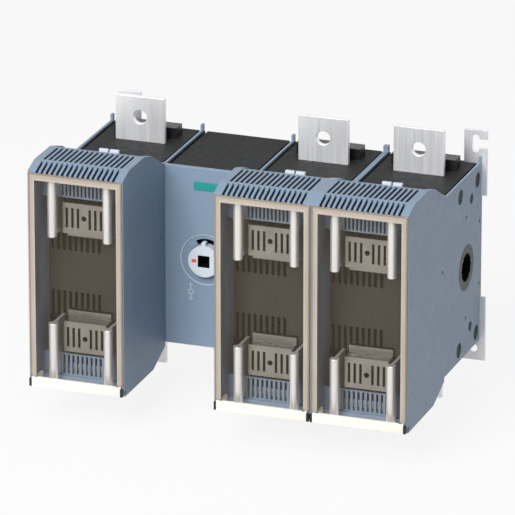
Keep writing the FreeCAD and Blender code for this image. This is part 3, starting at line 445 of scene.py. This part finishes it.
@dataclass
class Finishes:
    """Every finish of the object, made once."""

    # Glass-filled polyamide from a spark-eroded mould: an even matt blue-grey, with its edges painted paler
    # as a highlight.
    housing: bpy.types.Material = field(
        default_factory=Moulded(
            "blue_grey_polyamide", "#788a9c", "#74869a", "#93a5b4", roughness=0.5
        ).build
    )
    # The same moulding in near-black: dull, with a soft grey bloom under a lamp above it.
    case: bpy.types.Material = field(
        default_factory=Moulded(
            "black_glass_filled_polyamide", "#252627", "#1d1e1f", "#3d3e40", roughness=0.66, specular=0.15
        ).build
    )
    # Painted shade: the blue-grey plastic on the walls of the cooling slits, painted a dark slate blue for
    # the shade deep in them.
    slit_painted_shade: bpy.types.Material = field(
        default_factory=Moulded(
            "painted_shade_slit_polyamide", "#4c6176", "#435669", "#5b7087", roughness=0.6, specular=0.2
        ).build
    )
    # Arc-resistant moulding of the fuse compartment's rear wall: a dull warm grey.
    chamber: bpy.types.Material = field(
        default_factory=Moulded(
            "warm_grey_arc_wall", "#403d38", "#393631", "#524e48", roughness=0.7, specular=0.12
        ).build
    )
    # Polished black polyamide of ridges, catches and contact caps: black, faintly mirroring the lamps.
    gloss: bpy.types.Material = field(
        default_factory=Moulded(
            "polished_black_polyamide", "#17181a", "#121315", "#33343a", roughness=0.3, specular=0.4
        ).build
    )
    # Compression-moulded phenolic: deep brown, smooth and half dull.
    rotor: bpy.types.Material = field(
        default_factory=Moulded("brown_phenolic", "#3a332d", "#302a25", "#57504a", roughness=0.5).build
    )
    # Smoke-tinted clear sheet: it dims and browns what lies behind it, and shines at a low angle.
    cover: bpy.types.Material = field(
        default_factory=ClearSheet(
            "smoky_polycarbonate", "#786b59", "#706350", opacity=0.08, roughness=0.1
        ).build
    )
    # The same plastic seen through its whole width, where it gathers light and looks cream.
    rim: bpy.types.Material = field(
        default_factory=ClearSheet(
            "edge_lit_polycarbonate", "#c8bfb4", "#b5aa9d", opacity=0.85, roughness=0.25
        ).build
    )
    # The frame's outer step and narrow edges, where the smoke tint is at its deepest.
    smoke: bpy.types.Material = field(
        default_factory=ClearSheet(
            "deep_smoky_polycarbonate", "#a0917f", "#8d7d6b", opacity=0.88, roughness=0.25
        ).build
    )
    # Painted light: the sill along the cover's foot is painted almost white for the light that it pipes out.
    sill: bpy.types.Material = field(
        default_factory=ClearSheet(
            "painted_light_sill_polycarbonate", "#f4efe7", "#eae3d8", opacity=0.92, roughness=0.4
        ).build
    )
    # Rolled copper strip with a matt silver plate: pale, satin, with upright rolling marks.
    silver: bpy.types.Material = field(
        default_factory=Metal(
            "silver_plated_copper", "#f1f1f2", "#e6e7e9", roughness=0.42, lay=Lay.UPRIGHT, metallic=0.7
        ).build
    )
    # The same plate on the fuse contacts, dulled and yellowed by heat.
    contact: bpy.types.Material = field(
        default_factory=Metal(
            "tarnished_silver_plate", "#b1aca5", "#8b857c", roughness=0.33, lay=Lay.UPRIGHT
        ).build
    )
    # Bright tinned spring steel: nearly white bands down each rounded bead.
    guide: bpy.types.Material = field(
        default_factory=Metal(
            "bright_tinned_steel", "#fbf8f5", "#f1edea", roughness=0.38, lay=Lay.UPRIGHT, metallic=0.75
        ).build
    )
    # Zinc-plated sheet steel: cool pale grey, satin.
    zinc: bpy.types.Material = field(
        default_factory=Metal(
            "zinc_plated_sheet", "#e3e3e7", "#d7d7dc", roughness=0.5, lay=Lay.UPRIGHT, metallic=0.8
        ).build
    )
    # Turned steel, oiled: mid grey with marks across it.
    steel: bpy.types.Material = field(
        default_factory=Metal("plain_steel", "#8d8f92", "#7f8184", roughness=0.4, lay=Lay.ACROSS).build
    )
    # Black-oxide steel: dark grey heads that hardly shine.
    oxide: bpy.types.Material = field(
        default_factory=Metal(
            "black_oxide_steel", "#1d1e21", "#141518", roughness=0.5, lay=Lay.ACROSS, metallic=0.6
        ).build
    )
    # White moulded thermoplastic: clean, half gloss.
    white: bpy.types.Material = field(
        default_factory=Moulded(
            "white_thermoplastic", "#c6cdd5", "#bcc4cc", "#e6e9ec", roughness=0.4
        ).build
    )
    # Dark grey moulded polyamide: dull, a shade lighter than the cases.
    socket: bpy.types.Material = field(
        default_factory=Moulded(
            "dark_grey_polyamide", "#484a4e", "#3f4145", "#66686c", roughness=0.5, specular=0.3
        ).build
    )
    # Painted shade: near-black for deep bores, slots and recesses, where next to no light reaches.
    bore: bpy.types.Material = field(
        default_factory=Moulded(
            "painted_shade_black", "#08080a", "#050506", "#101012", roughness=0.7, specular=0.1
        ).build
    )
    # Printed teal film: flat colour, without lettering.
    teal: bpy.types.Material = field(default_factory=Ink("teal_film", "#0f8a86", "#12807c").build)
    # Pale pad print on the front.
    ink: bpy.types.Material = field(default_factory=Ink("pale_grey_ink", "#b9c6d2", "#aab9c7").build)
    # Red pad print on the dial.
    red: bpy.types.Material = field(default_factory=Ink("red_ink", "#e0533a", "#d64a33").build)


def paint(obj: bpy.types.Object, material: bpy.types.Material) -> None:
    """Gives an object one material all over."""
    obj.data.materials.clear()
    obj.data.materials.append(material)


def paint_where(obj: bpy.types.Object, material: bpy.types.Material, inside: FaceTest) -> None:
    """Gives a new piece a further material on some of its faces.

    Args:
        obj: The piece.
        material: The further material.
        inside: Tells from a face's centre and normal whether it gets the material.
    """
    obj.data.materials.append(material)
    last = len(obj.data.materials) - 1
    for face in obj.data.polygons:
        if inside(face.center, face.normal):
            face.material_index = last


def deselect() -> None:
    """Leaves nothing selected, so that an operator acts only on what is picked next."""
    for obj in bpy.context.view_layer.objects:
        obj.select_set(False)


def pick(obj: bpy.types.Object) -> None:
    """Makes one object the only selected and the active one.

    Args:
        obj: The object.
    """
    deselect()
    obj.select_set(True)
    bpy.context.view_layer.objects.active = obj


def split(obj: bpy.types.Object, cuts: tuple[tuple[float, Axis], ...]) -> None:
    """Scores a mesh along planes, so that each side of a line can have its own finish.

    Args:
        obj: The piece.
        cuts: How far out each plane lies, in metres, and the axis that it faces along.
    """
    pick(obj)
    bpy.ops.object.mode_set(mode="EDIT")
    for reach, axis in cuts:
        bpy.ops.mesh.select_all(action="SELECT")
        bpy.ops.mesh.bisect(plane_co=[reach * part for part in axis.value], plane_no=axis.value)
    bpy.ops.object.mode_set(mode="OBJECT")


def apply_modifiers(obj: bpy.types.Object) -> None:
    """Applies every modifier of an object in order.

    Args:
        obj: The object.
    """
    pick(obj)
    for name in [modifier.name for modifier in obj.modifiers]:
        bpy.ops.object.modifier_apply(modifier=name)


def settle(obj: bpy.types.Object) -> None:
    """Moves an object's place into its mesh, so that the object sits at the origin."""
    pick(obj)
    bpy.ops.object.transform_apply(location=True, rotation=True, scale=True)


def adopt(piece: bpy.types.Object, material: bpy.types.Material, body: str) -> None:
    """Finishes a new piece and fixes it to its body.

    Args:
        piece: The piece, in place.
        material: Its finish.
        body: The CAD body that it moves with.
    """
    paint(piece, material)
    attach(piece, body)
    LOG.info("added %s", piece.name)


def block(name: str, low: Point, high: Point, edge_mm: float) -> bpy.types.Object:
    """A printed stroke or mark as a thin block with softened edges.

    Args:
        name: The piece's name.
        low: Its lowest corner in millimetres.
        high: Its highest corner in millimetres.
        edge_mm: The width of its edges' rounding.

    Returns:
        The block, at the origin with its place in its mesh.
    """
    centre = [(a + b) / 2 * MM for a, b in zip(low, high)]
    bpy.ops.mesh.primitive_cube_add(size=1.0, location=centre)
    piece = bpy.context.active_object
    piece.name = name
    piece.scale = [(b - a) * MM for a, b in zip(low, high)]
    settle(piece)
    bevel = piece.modifiers.new("edges", "BEVEL")
    bevel.width = edge_mm * MM
    bevel.segments = 2
    apply_modifiers(piece)
    return piece


@dataclass(frozen=True)
class Rounding:
    """A copy of a CAD node whose sharp edges are rounded, as a mould or a press leaves them.

    With a radius of 0 the edges stay, for a piece whose slits lie too close for cut edges.
    """

    node: str
    body: str
    radius_mm: float = 0.0
    segments: int = 2
    weld_mm: float = 0.005
    flat_deg: float = 1.0
    sharp_deg: float = 40.0
    crease_deg: float = 35.0

    def build(self, material: bpy.types.Material) -> bpy.types.Object:
        """Makes the copy and puts it in the node's place.

        Args:
            material: The finish of the copy.

        Returns:
            The piece, its flat faces shaded flat.
        """
        piece = self.copy()
        self.weld(piece)
        if self.radius_mm:
            self.bevel(piece)
        paint(piece, material)
        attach(piece, self.body)
        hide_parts(self.node)
        LOG.info("rounded %s: %d faces", self.node, len(piece.data.polygons))
        return piece

    def copy(self) -> bpy.types.Object:
        """Copies the node's mesh to an object of its own.

        Returns:
            The copy, without the node's parent and tags.
        """
        source = frame["nodes"][self.node]
        piece = source.copy()
        piece.data = source.data.copy()
        piece.name = f"{self.node}_rounded"
        piece.parent = None
        for key in list(piece.keys()):
            del piece[key]
        bpy.context.scene.collection.objects.link(piece)
        return piece

    def weld(self, piece: bpy.types.Object) -> None:
        """Joins the corners that lie in one place and, for a bevel, the triangles of each flat face.

        Args:
            piece: The copy.
        """
        pick(piece)
        bpy.ops.object.mode_set(mode="EDIT")
        bpy.ops.mesh.select_all(action="SELECT")
        bpy.ops.mesh.remove_doubles(threshold=self.weld_mm * MM)
        if self.radius_mm:
            bpy.ops.mesh.dissolve_limited(angle_limit=math.radians(self.flat_deg))
        bpy.ops.object.mode_set(mode="OBJECT")

    def bevel(self, piece: bpy.types.Object) -> None:
        """Rounds the sharp edges and keeps the flat faces flat in the shading.

        Args:
            piece: The welded copy.
        """
        bevel = piece.modifiers.new("edges", "BEVEL")
        bevel.width = self.radius_mm * MM
        bevel.segments = self.segments
        bevel.limit_method = "ANGLE"
        bevel.angle_limit = math.radians(self.sharp_deg)
        bevel.use_clamp_overlap = True
        bevel.miter_outer = "MITER_ARC"
        apply_modifiers(piece)
        bpy.ops.object.shade_smooth_by_angle(angle=math.radians(self.crease_deg))
        weigh = piece.modifiers.new("flats", "WEIGHTED_NORMAL")
        weigh.keep_sharp = True
        apply_modifiers(piece)


@dataclass
class CoverFrame:
    """The thick moulded border behind a cover's face.

    It ends above the hinge, so that it clears the housing when the cover stands open. foot is the Z of
    its lower end in metres. A face keeps the pale tone where its normal points to the front by more than
    front_part.
    """

    number: int
    finishes: Finishes
    foot: float
    band_mm: float = 6.2
    band_top_mm: float = 7.4
    dark_band_mm: float = 1.7
    sheet_mm: float = 2.5
    gap_mm: float = 0.1
    thick_mm: float = 1.0
    inset_mm: float = 0.3
    edge_mm: float = 0.25
    front_part: float = 0.6

    def build(self) -> None:
        """Makes the border, dark on its outer step and its narrow edges, and fixes it to the cover."""
        low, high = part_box(f"fuse_cover_{self.number}")
        inset = self.inset_mm * MM
        left, right, top = low.x + inset, high.x - inset, high.z - inset
        front = low.y + (self.sheet_mm + self.gap_mm) * MM
        piece = self.plate(left, right, top, front)
        dark = self.dark_band_mm * MM
        dark_left, dark_right, dark_top = left + dark, right - dark, top - dark
        inner_left, inner_right = left + self.band_mm * MM, right - self.band_mm * MM
        inner_top = top - self.band_top_mm * MM
        split(
            piece,
            (
                (inner_left, Axis.ACROSS),
                (inner_right, Axis.ACROSS),
                (inner_top, Axis.UP),
                (dark_left, Axis.ACROSS),
                (dark_right, Axis.ACROSS),
                (dark_top, Axis.UP),
            ),
        )
        self.open_window(piece, lambda c, _normal: inner_left < c.x < inner_right and c.z < inner_top)
        self.thicken(piece)
        adopt(piece, self.finishes.rim, f"cover_{self.number}")
        paint_where(
            piece,
            self.finishes.smoke,
            lambda centre, normal: normal.y > -self.front_part
            or not dark_left < centre.x < dark_right
            or centre.z > dark_top,
        )

    def plate(self, left: float, right: float, top: float, front: float) -> bpy.types.Object:
        """A flat sheet as large as the border.

        Args:
            left: Its left edge's X in metres.
            right: Its right edge's X in metres.
            top: Its top edge's Z in metres.
            front: Its Y in metres.

        Returns:
            The sheet, which faces the front.
        """
        bpy.ops.mesh.primitive_plane_add(
            size=1.0,
            location=((left + right) / 2, front, (self.foot + top) / 2),
            rotation=(math.pi / 2, 0.0, 0.0),
        )
        piece = bpy.context.active_object
        piece.name = f"cover_frame_{self.number}"
        piece.scale = (right - left, top - self.foot, 1.0)
        settle(piece)
        return piece

    def open_window(self, piece: bpy.types.Object, inside: FaceTest) -> None:
        """Deletes the faces inside the border.

        Args:
            piece: The scored sheet.
            inside: Tells from a face's centre and normal whether it lies in the window.
        """
        bpy.ops.object.mode_set(mode="EDIT")
        bpy.ops.mesh.select_mode(type="FACE")
        bpy.ops.mesh.select_all(action="DESELECT")
        bpy.ops.object.mode_set(mode="OBJECT")
        for face in piece.data.polygons:
            face.select = inside(face.center, face.normal)
        bpy.ops.object.mode_set(mode="EDIT")
        bpy.ops.mesh.delete(type="FACE")
        bpy.ops.object.mode_set(mode="OBJECT")

    def thicken(self, piece: bpy.types.Object) -> None:
        """Gives the border its thickness, towards the back, and softens its edges.

        Args:
            piece: The sheet with its window.
        """
        solid = piece.modifiers.new("thickness", "SOLIDIFY")
        solid.thickness = self.thick_mm * MM
        solid.offset = -1.0
        bevel = piece.modifiers.new("edges", "BEVEL")
        bevel.width = self.edge_mm * MM
        bevel.segments = 2
        bevel.limit_method = "ANGLE"
        apply_modifiers(piece)


@dataclass
class Pole:
    """One fuse pole: its housing, dark case, clear cover, contacts, guides and lugs.

    Faces are told apart by their place. The roof's ridges start at the height ridge_foot_mm. The rear wall
    and its vents lie within vent_depth_mm of the case's front. The painted shade behind a fuse contact
    starts shade_inset_mm past the contact's inner end. The cap of the lower contact looks up by more than
    cap_part. The slits' walls, which get painted shade, have their middles within slit_drop_mm of the
    housing's top.
    """

    number: int
    finishes: Finishes
    metal_edge_mm: float = 0.5
    label_edge_mm: float = 0.4
    cover_edge_mm: float = 0.6
    ridge_foot_mm: float = 93.7
    vent_depth_mm: float = 4.5
    shade_inset_mm: float = 8.0
    cap_part: float = 0.7
    slot_reach_mm: float = 20.5
    slit_margin_mm: float = 6.0
    slit_drop_mm: float = 14.0
    sill_mm: float = 10.0
    catch_width_mm: float = 2.6
    catch_height_mm: float = 8.0

    def dress(self) -> None:
        """Gives every node of the pole its finish and edges, and adds the cover's frame."""
        number, finishes = self.number, self.finishes
        for node, radius, material in (
            (f"upper_terminal_{number}", self.metal_edge_mm, finishes.silver),
            (f"lower_terminal_{number}", self.metal_edge_mm, finishes.silver),
            (f"upper_contact_guides_{number}", self.metal_edge_mm, finishes.guide),
            (f"lower_contact_guides_{number}", self.metal_edge_mm, finishes.guide),
            (f"label_strip_{number}", self.label_edge_mm, finishes.white),
        ):
            Rounding(node, "base", radius).build(material)
        for hand in HANDS:
            self.dress_case(hand)
        self.dress_contacts()
        self.dress_housing()
        paint(frame["nodes"][f"rotor_{number}"], finishes.rotor)
        paint(frame["nodes"][f"contact_bridges_{number}"], finishes.contact)
        self.dress_cover()
        low, _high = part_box(f"fuse_cover_{number}")
        CoverFrame(number, finishes, low.z + self.sill_mm * MM).build()

    def dress_case(self, hand: str) -> None:
        """Finishes one half of the dark case.

        Its roof ridges are polished and the front of the compartment's rear wall is warm grey. The vent
        slots in that wall and the rear wall behind each fuse contact get painted shade in black.

        Args:
            hand: The half, left or right.
        """
        node, finishes = f"switch_case_{hand}_{self.number}", self.finishes
        case = Rounding(node, "base").build(finishes.case)
        case_low, _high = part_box(node)
        contact_low, _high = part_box(f"upper_fuse_contact_{self.number}")
        ridge, wall = self.ridge_foot_mm * MM, case_low.y + self.vent_depth_mm * MM
        shade = contact_low.z + self.shade_inset_mm * MM
        split(case, ((shade, Axis.UP), (-shade, Axis.UP)))
        paint_where(case, finishes.gloss, lambda centre, _normal: centre.z > ridge)
        # Painted shade: the walls of the vent slots are black.
        paint_where(case, finishes.bore, lambda centre, normal: centre.y < wall and normal.y > -FACING)
        paint_where(case, finishes.chamber, lambda centre, normal: centre.y < wall and normal.y < -FACING)
        # Painted shade: the rear wall behind each fuse contact is black.
        paint_where(
            case,
            finishes.bore,
            lambda centre, normal: centre.y < wall and normal.y < -FACING and abs(centre.z) > shade,
        )

    def dress_contacts(self) -> None:
        """Finishes the two fuse contacts, with a dark cap on the lower one and painted shade in black in the
        slots of both.
        """
        upper = Rounding(f"upper_fuse_contact_{self.number}", "base").build(self.finishes.contact)
        lower = Rounding(f"lower_fuse_contact_{self.number}", "base").build(self.finishes.contact)
        paint_where(lower, self.finishes.gloss, lambda _centre, normal: normal.z > self.cap_part)
        middle = sum(corner.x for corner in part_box(f"upper_fuse_contact_{self.number}")) / 2
        reach = self.slot_reach_mm * MM
        # Painted shade: the walls of the contact slots are black.
        for contact in (upper, lower):
            paint_where(
                contact,
                self.finishes.bore,
                lambda centre, normal: abs(normal.x) > FACING and abs(centre.x - middle) < reach,
            )

    def dress_housing(self) -> None:
        """Finishes the housing, with painted shade that darkens the walls of the slits between the ribs on
        its top.
        """
        node = f"fuse_housing_{self.number}"
        housing = Rounding(node, "base").build(self.finishes.housing)
        low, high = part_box(node)
        left, right = low.x + self.slit_margin_mm * MM, high.x - self.slit_margin_mm * MM
        foot = high.z - self.slit_drop_mm * MM
        # Painted shade: the slit walls near the top are painted dark slate blue.
        paint_where(
            housing,
            self.finishes.slit_painted_shade,
            lambda centre, normal: left < centre.x < right and centre.z > foot and abs(normal.x) > FACING,
        )

    def dress_cover(self) -> None:
        """Rounds the clear cover, paints its sill near-white as painted light, and finishes its two dark
        catches.
        """
        node = f"fuse_cover_{self.number}"
        low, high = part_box(node)
        left, right = low.x + self.catch_width_mm * MM, high.x - self.catch_width_mm * MM
        sill, catch = low.z + self.sill_mm * MM, low.z + self.catch_height_mm * MM
        cover = Rounding(node, f"cover_{self.number}", self.cover_edge_mm).build(self.finishes.cover)
        split(cover, ((sill, Axis.UP), (catch, Axis.UP), (left, Axis.ACROSS), (right, Axis.ACROSS)))
        # Painted light: the sill along the cover's foot is near-white.
        paint_where(
            cover, self.finishes.sill, lambda centre, _normal: centre.z < sill and left < centre.x < right
        )
        paint_where(
            cover,
            self.finishes.gloss,
            lambda centre, _normal: centre.z < catch and not left < centre.x < right,
        )


@dataclass
class DriveModule:
    """The operating mechanism between the poles: front, dark case, dial and its printed marks."""

    finishes: Finishes
    front_edge_mm: float = 1.6
    case_edge_mm: float = 0.6
    plate_edge_mm: float = 0.2
    print_mm: float = 0.12
    print_edge_mm: float = 0.03
    key_mm: float = 12.4
    key_lip_mm: float = 0.4
    ring_radius_mm: float = 26.0
    ring_width_mm: float = 0.8
    ring_corners: int = 72
    sign_left_mm: float = -15.5
    sign_height_mm: float = -34.4
    sign_radius_mm: float = 2.8
    sign_line_mm: float = 0.7
    sign_bar_mm: float = 4.2
    sign_near_mm: float = 3.2
    sign_far_mm: float = 9.4
    sign_bar_from_mm: float = 6.6
    sign_bar_to_mm: float = 7.3
    red_near_mm: float = 7.6
    red_far_mm: float = 12.4
    red_half_mm: float = 1.7
    red_proud_mm: float = 0.1
    red_sunk_mm: float = 0.2
    red_edge_mm: float = 0.05

    def axis(self) -> float:
        """The X of the dial's axis in metres."""
        return sum(corner.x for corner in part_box("dial")) / 2

    def face(self) -> float:
        """The Y of the front's face in metres."""
        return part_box("mechanism_front")[0].y

    def dress(self) -> None:
        """Gives every node of the module its finish and rounded edges."""
        finishes = self.finishes
        for node, radius, material in (
            ("mechanism_front", self.front_edge_mm, finishes.housing),
            ("mechanism_case_left", self.case_edge_mm, finishes.case),
            ("mechanism_case_right", self.case_edge_mm, finishes.case),
            ("name_plate", self.plate_edge_mm, finishes.teal),
        ):
            Rounding(node, "base", radius).build(material)
        dial = Rounding("dial", "front_drive").build(finishes.white)
        low, _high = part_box("dial")
        axis, reach, lip = self.axis(), self.key_mm / 2 * MM, low.y + self.key_lip_mm * MM
        # Painted shade: the deep part of the dial's key recess is black.
        paint_where(
            dial,
            finishes.bore,
            lambda centre, _normal: max(abs(centre.x - axis), abs(centre.z)) < reach and centre.y > lip,
        )
        for node in ("drive_shaft", "drive_bevel_gear", "shaft_bevel_gear", "main_shaft"):
            paint(frame["nodes"][node], finishes.steel)

    def mark(self) -> None:
        """Prints the ring and the small turning sign on the front, and the red mark on the dial."""
        axis, back = self.axis() / MM, self.face() / MM
        left, middle = axis + self.sign_left_mm, self.sign_height_mm
        for name, x, z, radius, width in (
            ("drive_ring_print", axis, 0.0, self.ring_radius_mm, self.ring_width_mm),
            ("drive_sign_ring", left, middle, self.sign_radius_mm, self.sign_line_mm),
        ):
            adopt(self.ring(name, x, z, radius, width), self.finishes.ink, "base")
        front = back - self.print_mm
        for name, width, low, high in (
            ("drive_sign_upper_line", self.sign_line_mm, self.sign_near_mm, self.sign_far_mm),
            ("drive_sign_lower_line", self.sign_line_mm, -self.sign_far_mm, -self.sign_near_mm),
            ("drive_sign_upper_bar", self.sign_bar_mm, self.sign_bar_from_mm, self.sign_bar_to_mm),
            ("drive_sign_lower_bar", self.sign_bar_mm, -self.sign_bar_to_mm, -self.sign_bar_from_mm),
        ):
            near, far = (left - width / 2, front, middle + low), (left + width / 2, back, middle + high)
            adopt(block(name, near, far, self.print_edge_mm), self.finishes.ink, "base")
        low, _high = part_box("dial")
        face = low.y / MM
        red = block(
            "dial_red_mark",
            (axis - self.red_far_mm, face - self.red_proud_mm, -self.red_half_mm),
            (axis - self.red_near_mm, face + self.red_sunk_mm, self.red_half_mm),
            self.red_edge_mm,
        )
        adopt(red, self.finishes.red, "front_drive")

    def ring(self, name: str, x: float, z: float, radius: float, width: float) -> bpy.types.Object:
        """A thin printed ring on the front.

        Args:
            name: The piece's name.
            x: Its centre's X in millimetres.
            z: Its centre's Z in millimetres.
            radius: The outer radius in millimetres.
            width: The line's width in millimetres.

        Returns:
            The ring.
        """
        bpy.ops.mesh.primitive_circle_add(
            vertices=self.ring_corners,
            radius=radius * MM,
            fill_type="NGON",
            location=(x * MM, self.face() - self.print_mm / 2 * MM, z * MM),
            rotation=(math.pi / 2, 0.0, 0.0),
        )
        line = bpy.context.active_object
        line.name = name
        settle(line)
        bpy.ops.object.mode_set(mode="EDIT")
        bpy.ops.mesh.select_all(action="SELECT")
        bpy.ops.mesh.inset(thickness=width * MM)
        bpy.ops.mesh.delete(type="FACE")
        bpy.ops.object.mode_set(mode="OBJECT")
        solid = line.modifiers.new("thickness", "SOLIDIFY")
        solid.thickness = self.print_mm * MM
        solid.offset = 0.0
        apply_modifiers(line)
        return line


@dataclass
class Hardware:
    """What the modules share: feet, screws, tie rods and the side drive sockets.

    A face in a socket's bore is a wall where its normal lies along the shaft by less than side_part, and
    part of the floor where it lies within bore_core_mm of the shaft's axis.
    """

    finishes: Finishes
    foot_edge_mm: float = 0.5
    bore_radius_mm: float = 15.6
    bore_core_mm: float = 12.0
    side_part: float = 0.5

    def dress(self) -> None:
        """Gives the shared pieces their finish."""
        for level in ("upper", "lower"):
            for hand in HANDS:
                Rounding(f"foot_{level}_{hand}", "base", self.foot_edge_mm).build(self.finishes.zinc)
        for hand in HANDS:
            self.dress_socket(f"drive_socket_{hand}")
        paint(frame["nodes"]["foot_screws"], self.finishes.steel)
        paint(frame["nodes"]["tie_rods"], self.finishes.oxide)

    def dress_socket(self, node: str) -> None:
        """Finishes a side drive socket, with painted shade in black on the walls and the floor of its
        twelve-point bore.

        Args:
            node: The socket's node.
        """
        socket = Rounding(node, "switch_shaft").build(self.finishes.socket)
        axis = sum(corner.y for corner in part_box(node)) / 2
        bore, core = self.bore_radius_mm * MM, self.bore_core_mm * MM

        def in_bore(centre: Vector, normal: Vector) -> bool:
            """Whether a face is a wall or the floor of the bore."""
            reach = math.hypot(centre.y - axis, centre.z)
            return reach < bore and (abs(normal.x) < self.side_part or reach < core)

        # Painted shade: the bore's walls and floor are black.
        paint_where(socket, self.finishes.bore, in_bore)


@dataclass(frozen=True)
class Lamp:
    """One large soft lamp, which points at the object."""

    name: str
    place: Point
    size: float
    watts: float

    def build(self, target: Vector) -> None:
        """Makes the lamp and turns it.

        Args:
            target: What it points at.
        """
        data = bpy.data.lights.new(self.name, "AREA")
        data.size = self.size
        data.energy = self.watts
        lamp = bpy.data.objects.new(self.name, data)
        lamp.location = self.place
        lamp.rotation_euler = (target - Vector(self.place)).to_track_quat("-Z", "Y").to_euler()
        bpy.context.scene.collection.objects.link(lamp)


@dataclass
class Studio:
    """The floor, the soft light and the camera at the photograph's angle, in metres.

    The camera's directions to its right and its back, and the width of what it sees at the target, were
    fitted to the row's edges in the photograph.
    """

    target: Point = (-3.5 * MM, -100.0 * MM, 4.3 * MM)
    right: Point = (0.9414, 0.3373, 0.0)
    back: Point = (0.3172, -0.8854, 0.3398)
    distance: float = 6.0
    far_limit: float = 100.0
    picture_width: float = 0.4978
    sensor_mm: float = 36.0
    floor_z: float = -0.150
    floor_size: float = 16.0
    paper_patch_mm: float = 400.0
    paper_roughness: float = 0.9
    paper_white: float = 0.88
    shade_light: float = 0.32
    lamps: tuple[Lamp, ...] = (
        Lamp("key", (-0.3, -2.6, 1.9), size=1.5, watts=122.0),
        Lamp("fill", (2.7, -0.3, 0.7), size=1.6, watts=8.0),
        Lamp("top", (0.1, -0.3, 2.5), size=2.0, watts=4.0),
    )

    def build(self) -> None:
        """Makes the whole studio."""
        self.add_camera()
        self.add_floor()
        for lamp in self.lamps:
            lamp.build(Vector(self.target))
        self.add_world()
        bpy.context.scene.view_settings.view_transform = "Standard"
        LOG.info("studio ready")

    def add_camera(self) -> None:
        """A long lens at the photograph's angle, framed as the photograph is."""
        back = Vector(self.back).normalized()
        right = Vector(self.right).normalized()
        up = back.cross(right)
        data = bpy.data.cameras.new("camera")
        data.sensor_width = self.sensor_mm
        data.lens = self.sensor_mm * self.distance / self.picture_width
        data.clip_end = self.far_limit
        camera = bpy.data.objects.new("camera", data)
        turn = Matrix((right, up, back)).transposed().to_4x4()
        camera.matrix_world = Matrix.Translation(Vector(self.target) + back * self.distance) @ turn
        bpy.context.scene.collection.objects.link(camera)
        bpy.context.scene.camera = camera

    def add_floor(self) -> None:
        """A wide pale floor that keeps a soft shadow of the object and shows as white paper."""
        bpy.ops.mesh.primitive_plane_add(size=self.floor_size, location=(0.0, 0.0, self.floor_z))
        floor = bpy.context.active_object
        floor.name = "floor"
        paint(floor, self.paper())

    def paper(self) -> bpy.types.Material:
        """Matt white paper: no shine, hardly a change of tone, and most of its shade lifted to white.

        Returns:
            The material, which lights the object as plain grey paper would.
        """
        material, tree, where = new_material("white_paper")
        white = {0: seen_directly(tree), 1: self.paper_white}
        amount = add(tree, "ShaderNodeMath", white, operation="MULTIPLY").outputs[0]
        tone = mottled(tree, where, ("#d2d2d2", "#cfcfcf"), self.paper_patch_mm)
        matt = {"Base Color": tone, "Roughness": self.paper_roughness}
        paper = add(tree, "ShaderNodeBsdfPrincipled", matt)
        glow = add(tree, "ShaderNodeEmission", {"Color": linear("#ffffff"), "Strength": 1.0})
        whole = add(tree, "ShaderNodeMixShader", {0: amount, 1: paper.outputs[0], 2: glow.outputs[0]})
        add(tree, "ShaderNodeOutputMaterial", {"Surface": whole.outputs[0]})
        return material

    def add_world(self) -> None:
        """A plain pale surround, white where the camera, gloss or clear plastic shows it."""
        world = bpy.data.worlds.new("surround")
        bpy.context.scene.world = world
        world.use_nodes = True
        tree = world.node_tree
        tree.nodes.clear()
        limits = {"To Min": self.shade_light, "To Max": 1.0}
        level = add(tree, "ShaderNodeMapRange", {"Value": seen_directly(tree), **limits})
        white = {"Color": linear("#ffffff"), "Strength": level.outputs["Result"]}
        sky = add(tree, "ShaderNodeBackground", white)
        add(tree, "ShaderNodeOutputWorld", {"Surface": sky.outputs[0]})


def main() -> None:
    """Builds the scene in order."""
    logging.basicConfig(level=logging.INFO, format="%(message)s")
    finishes = Finishes()
    Studio().build()
    for number in POLES:
        Pole(number, finishes).dress()
    module = DriveModule(finishes)
    module.dress()
    module.mark()
    Hardware(finishes).dress()
    deselect()


if __name__ == "__main__":
    main()
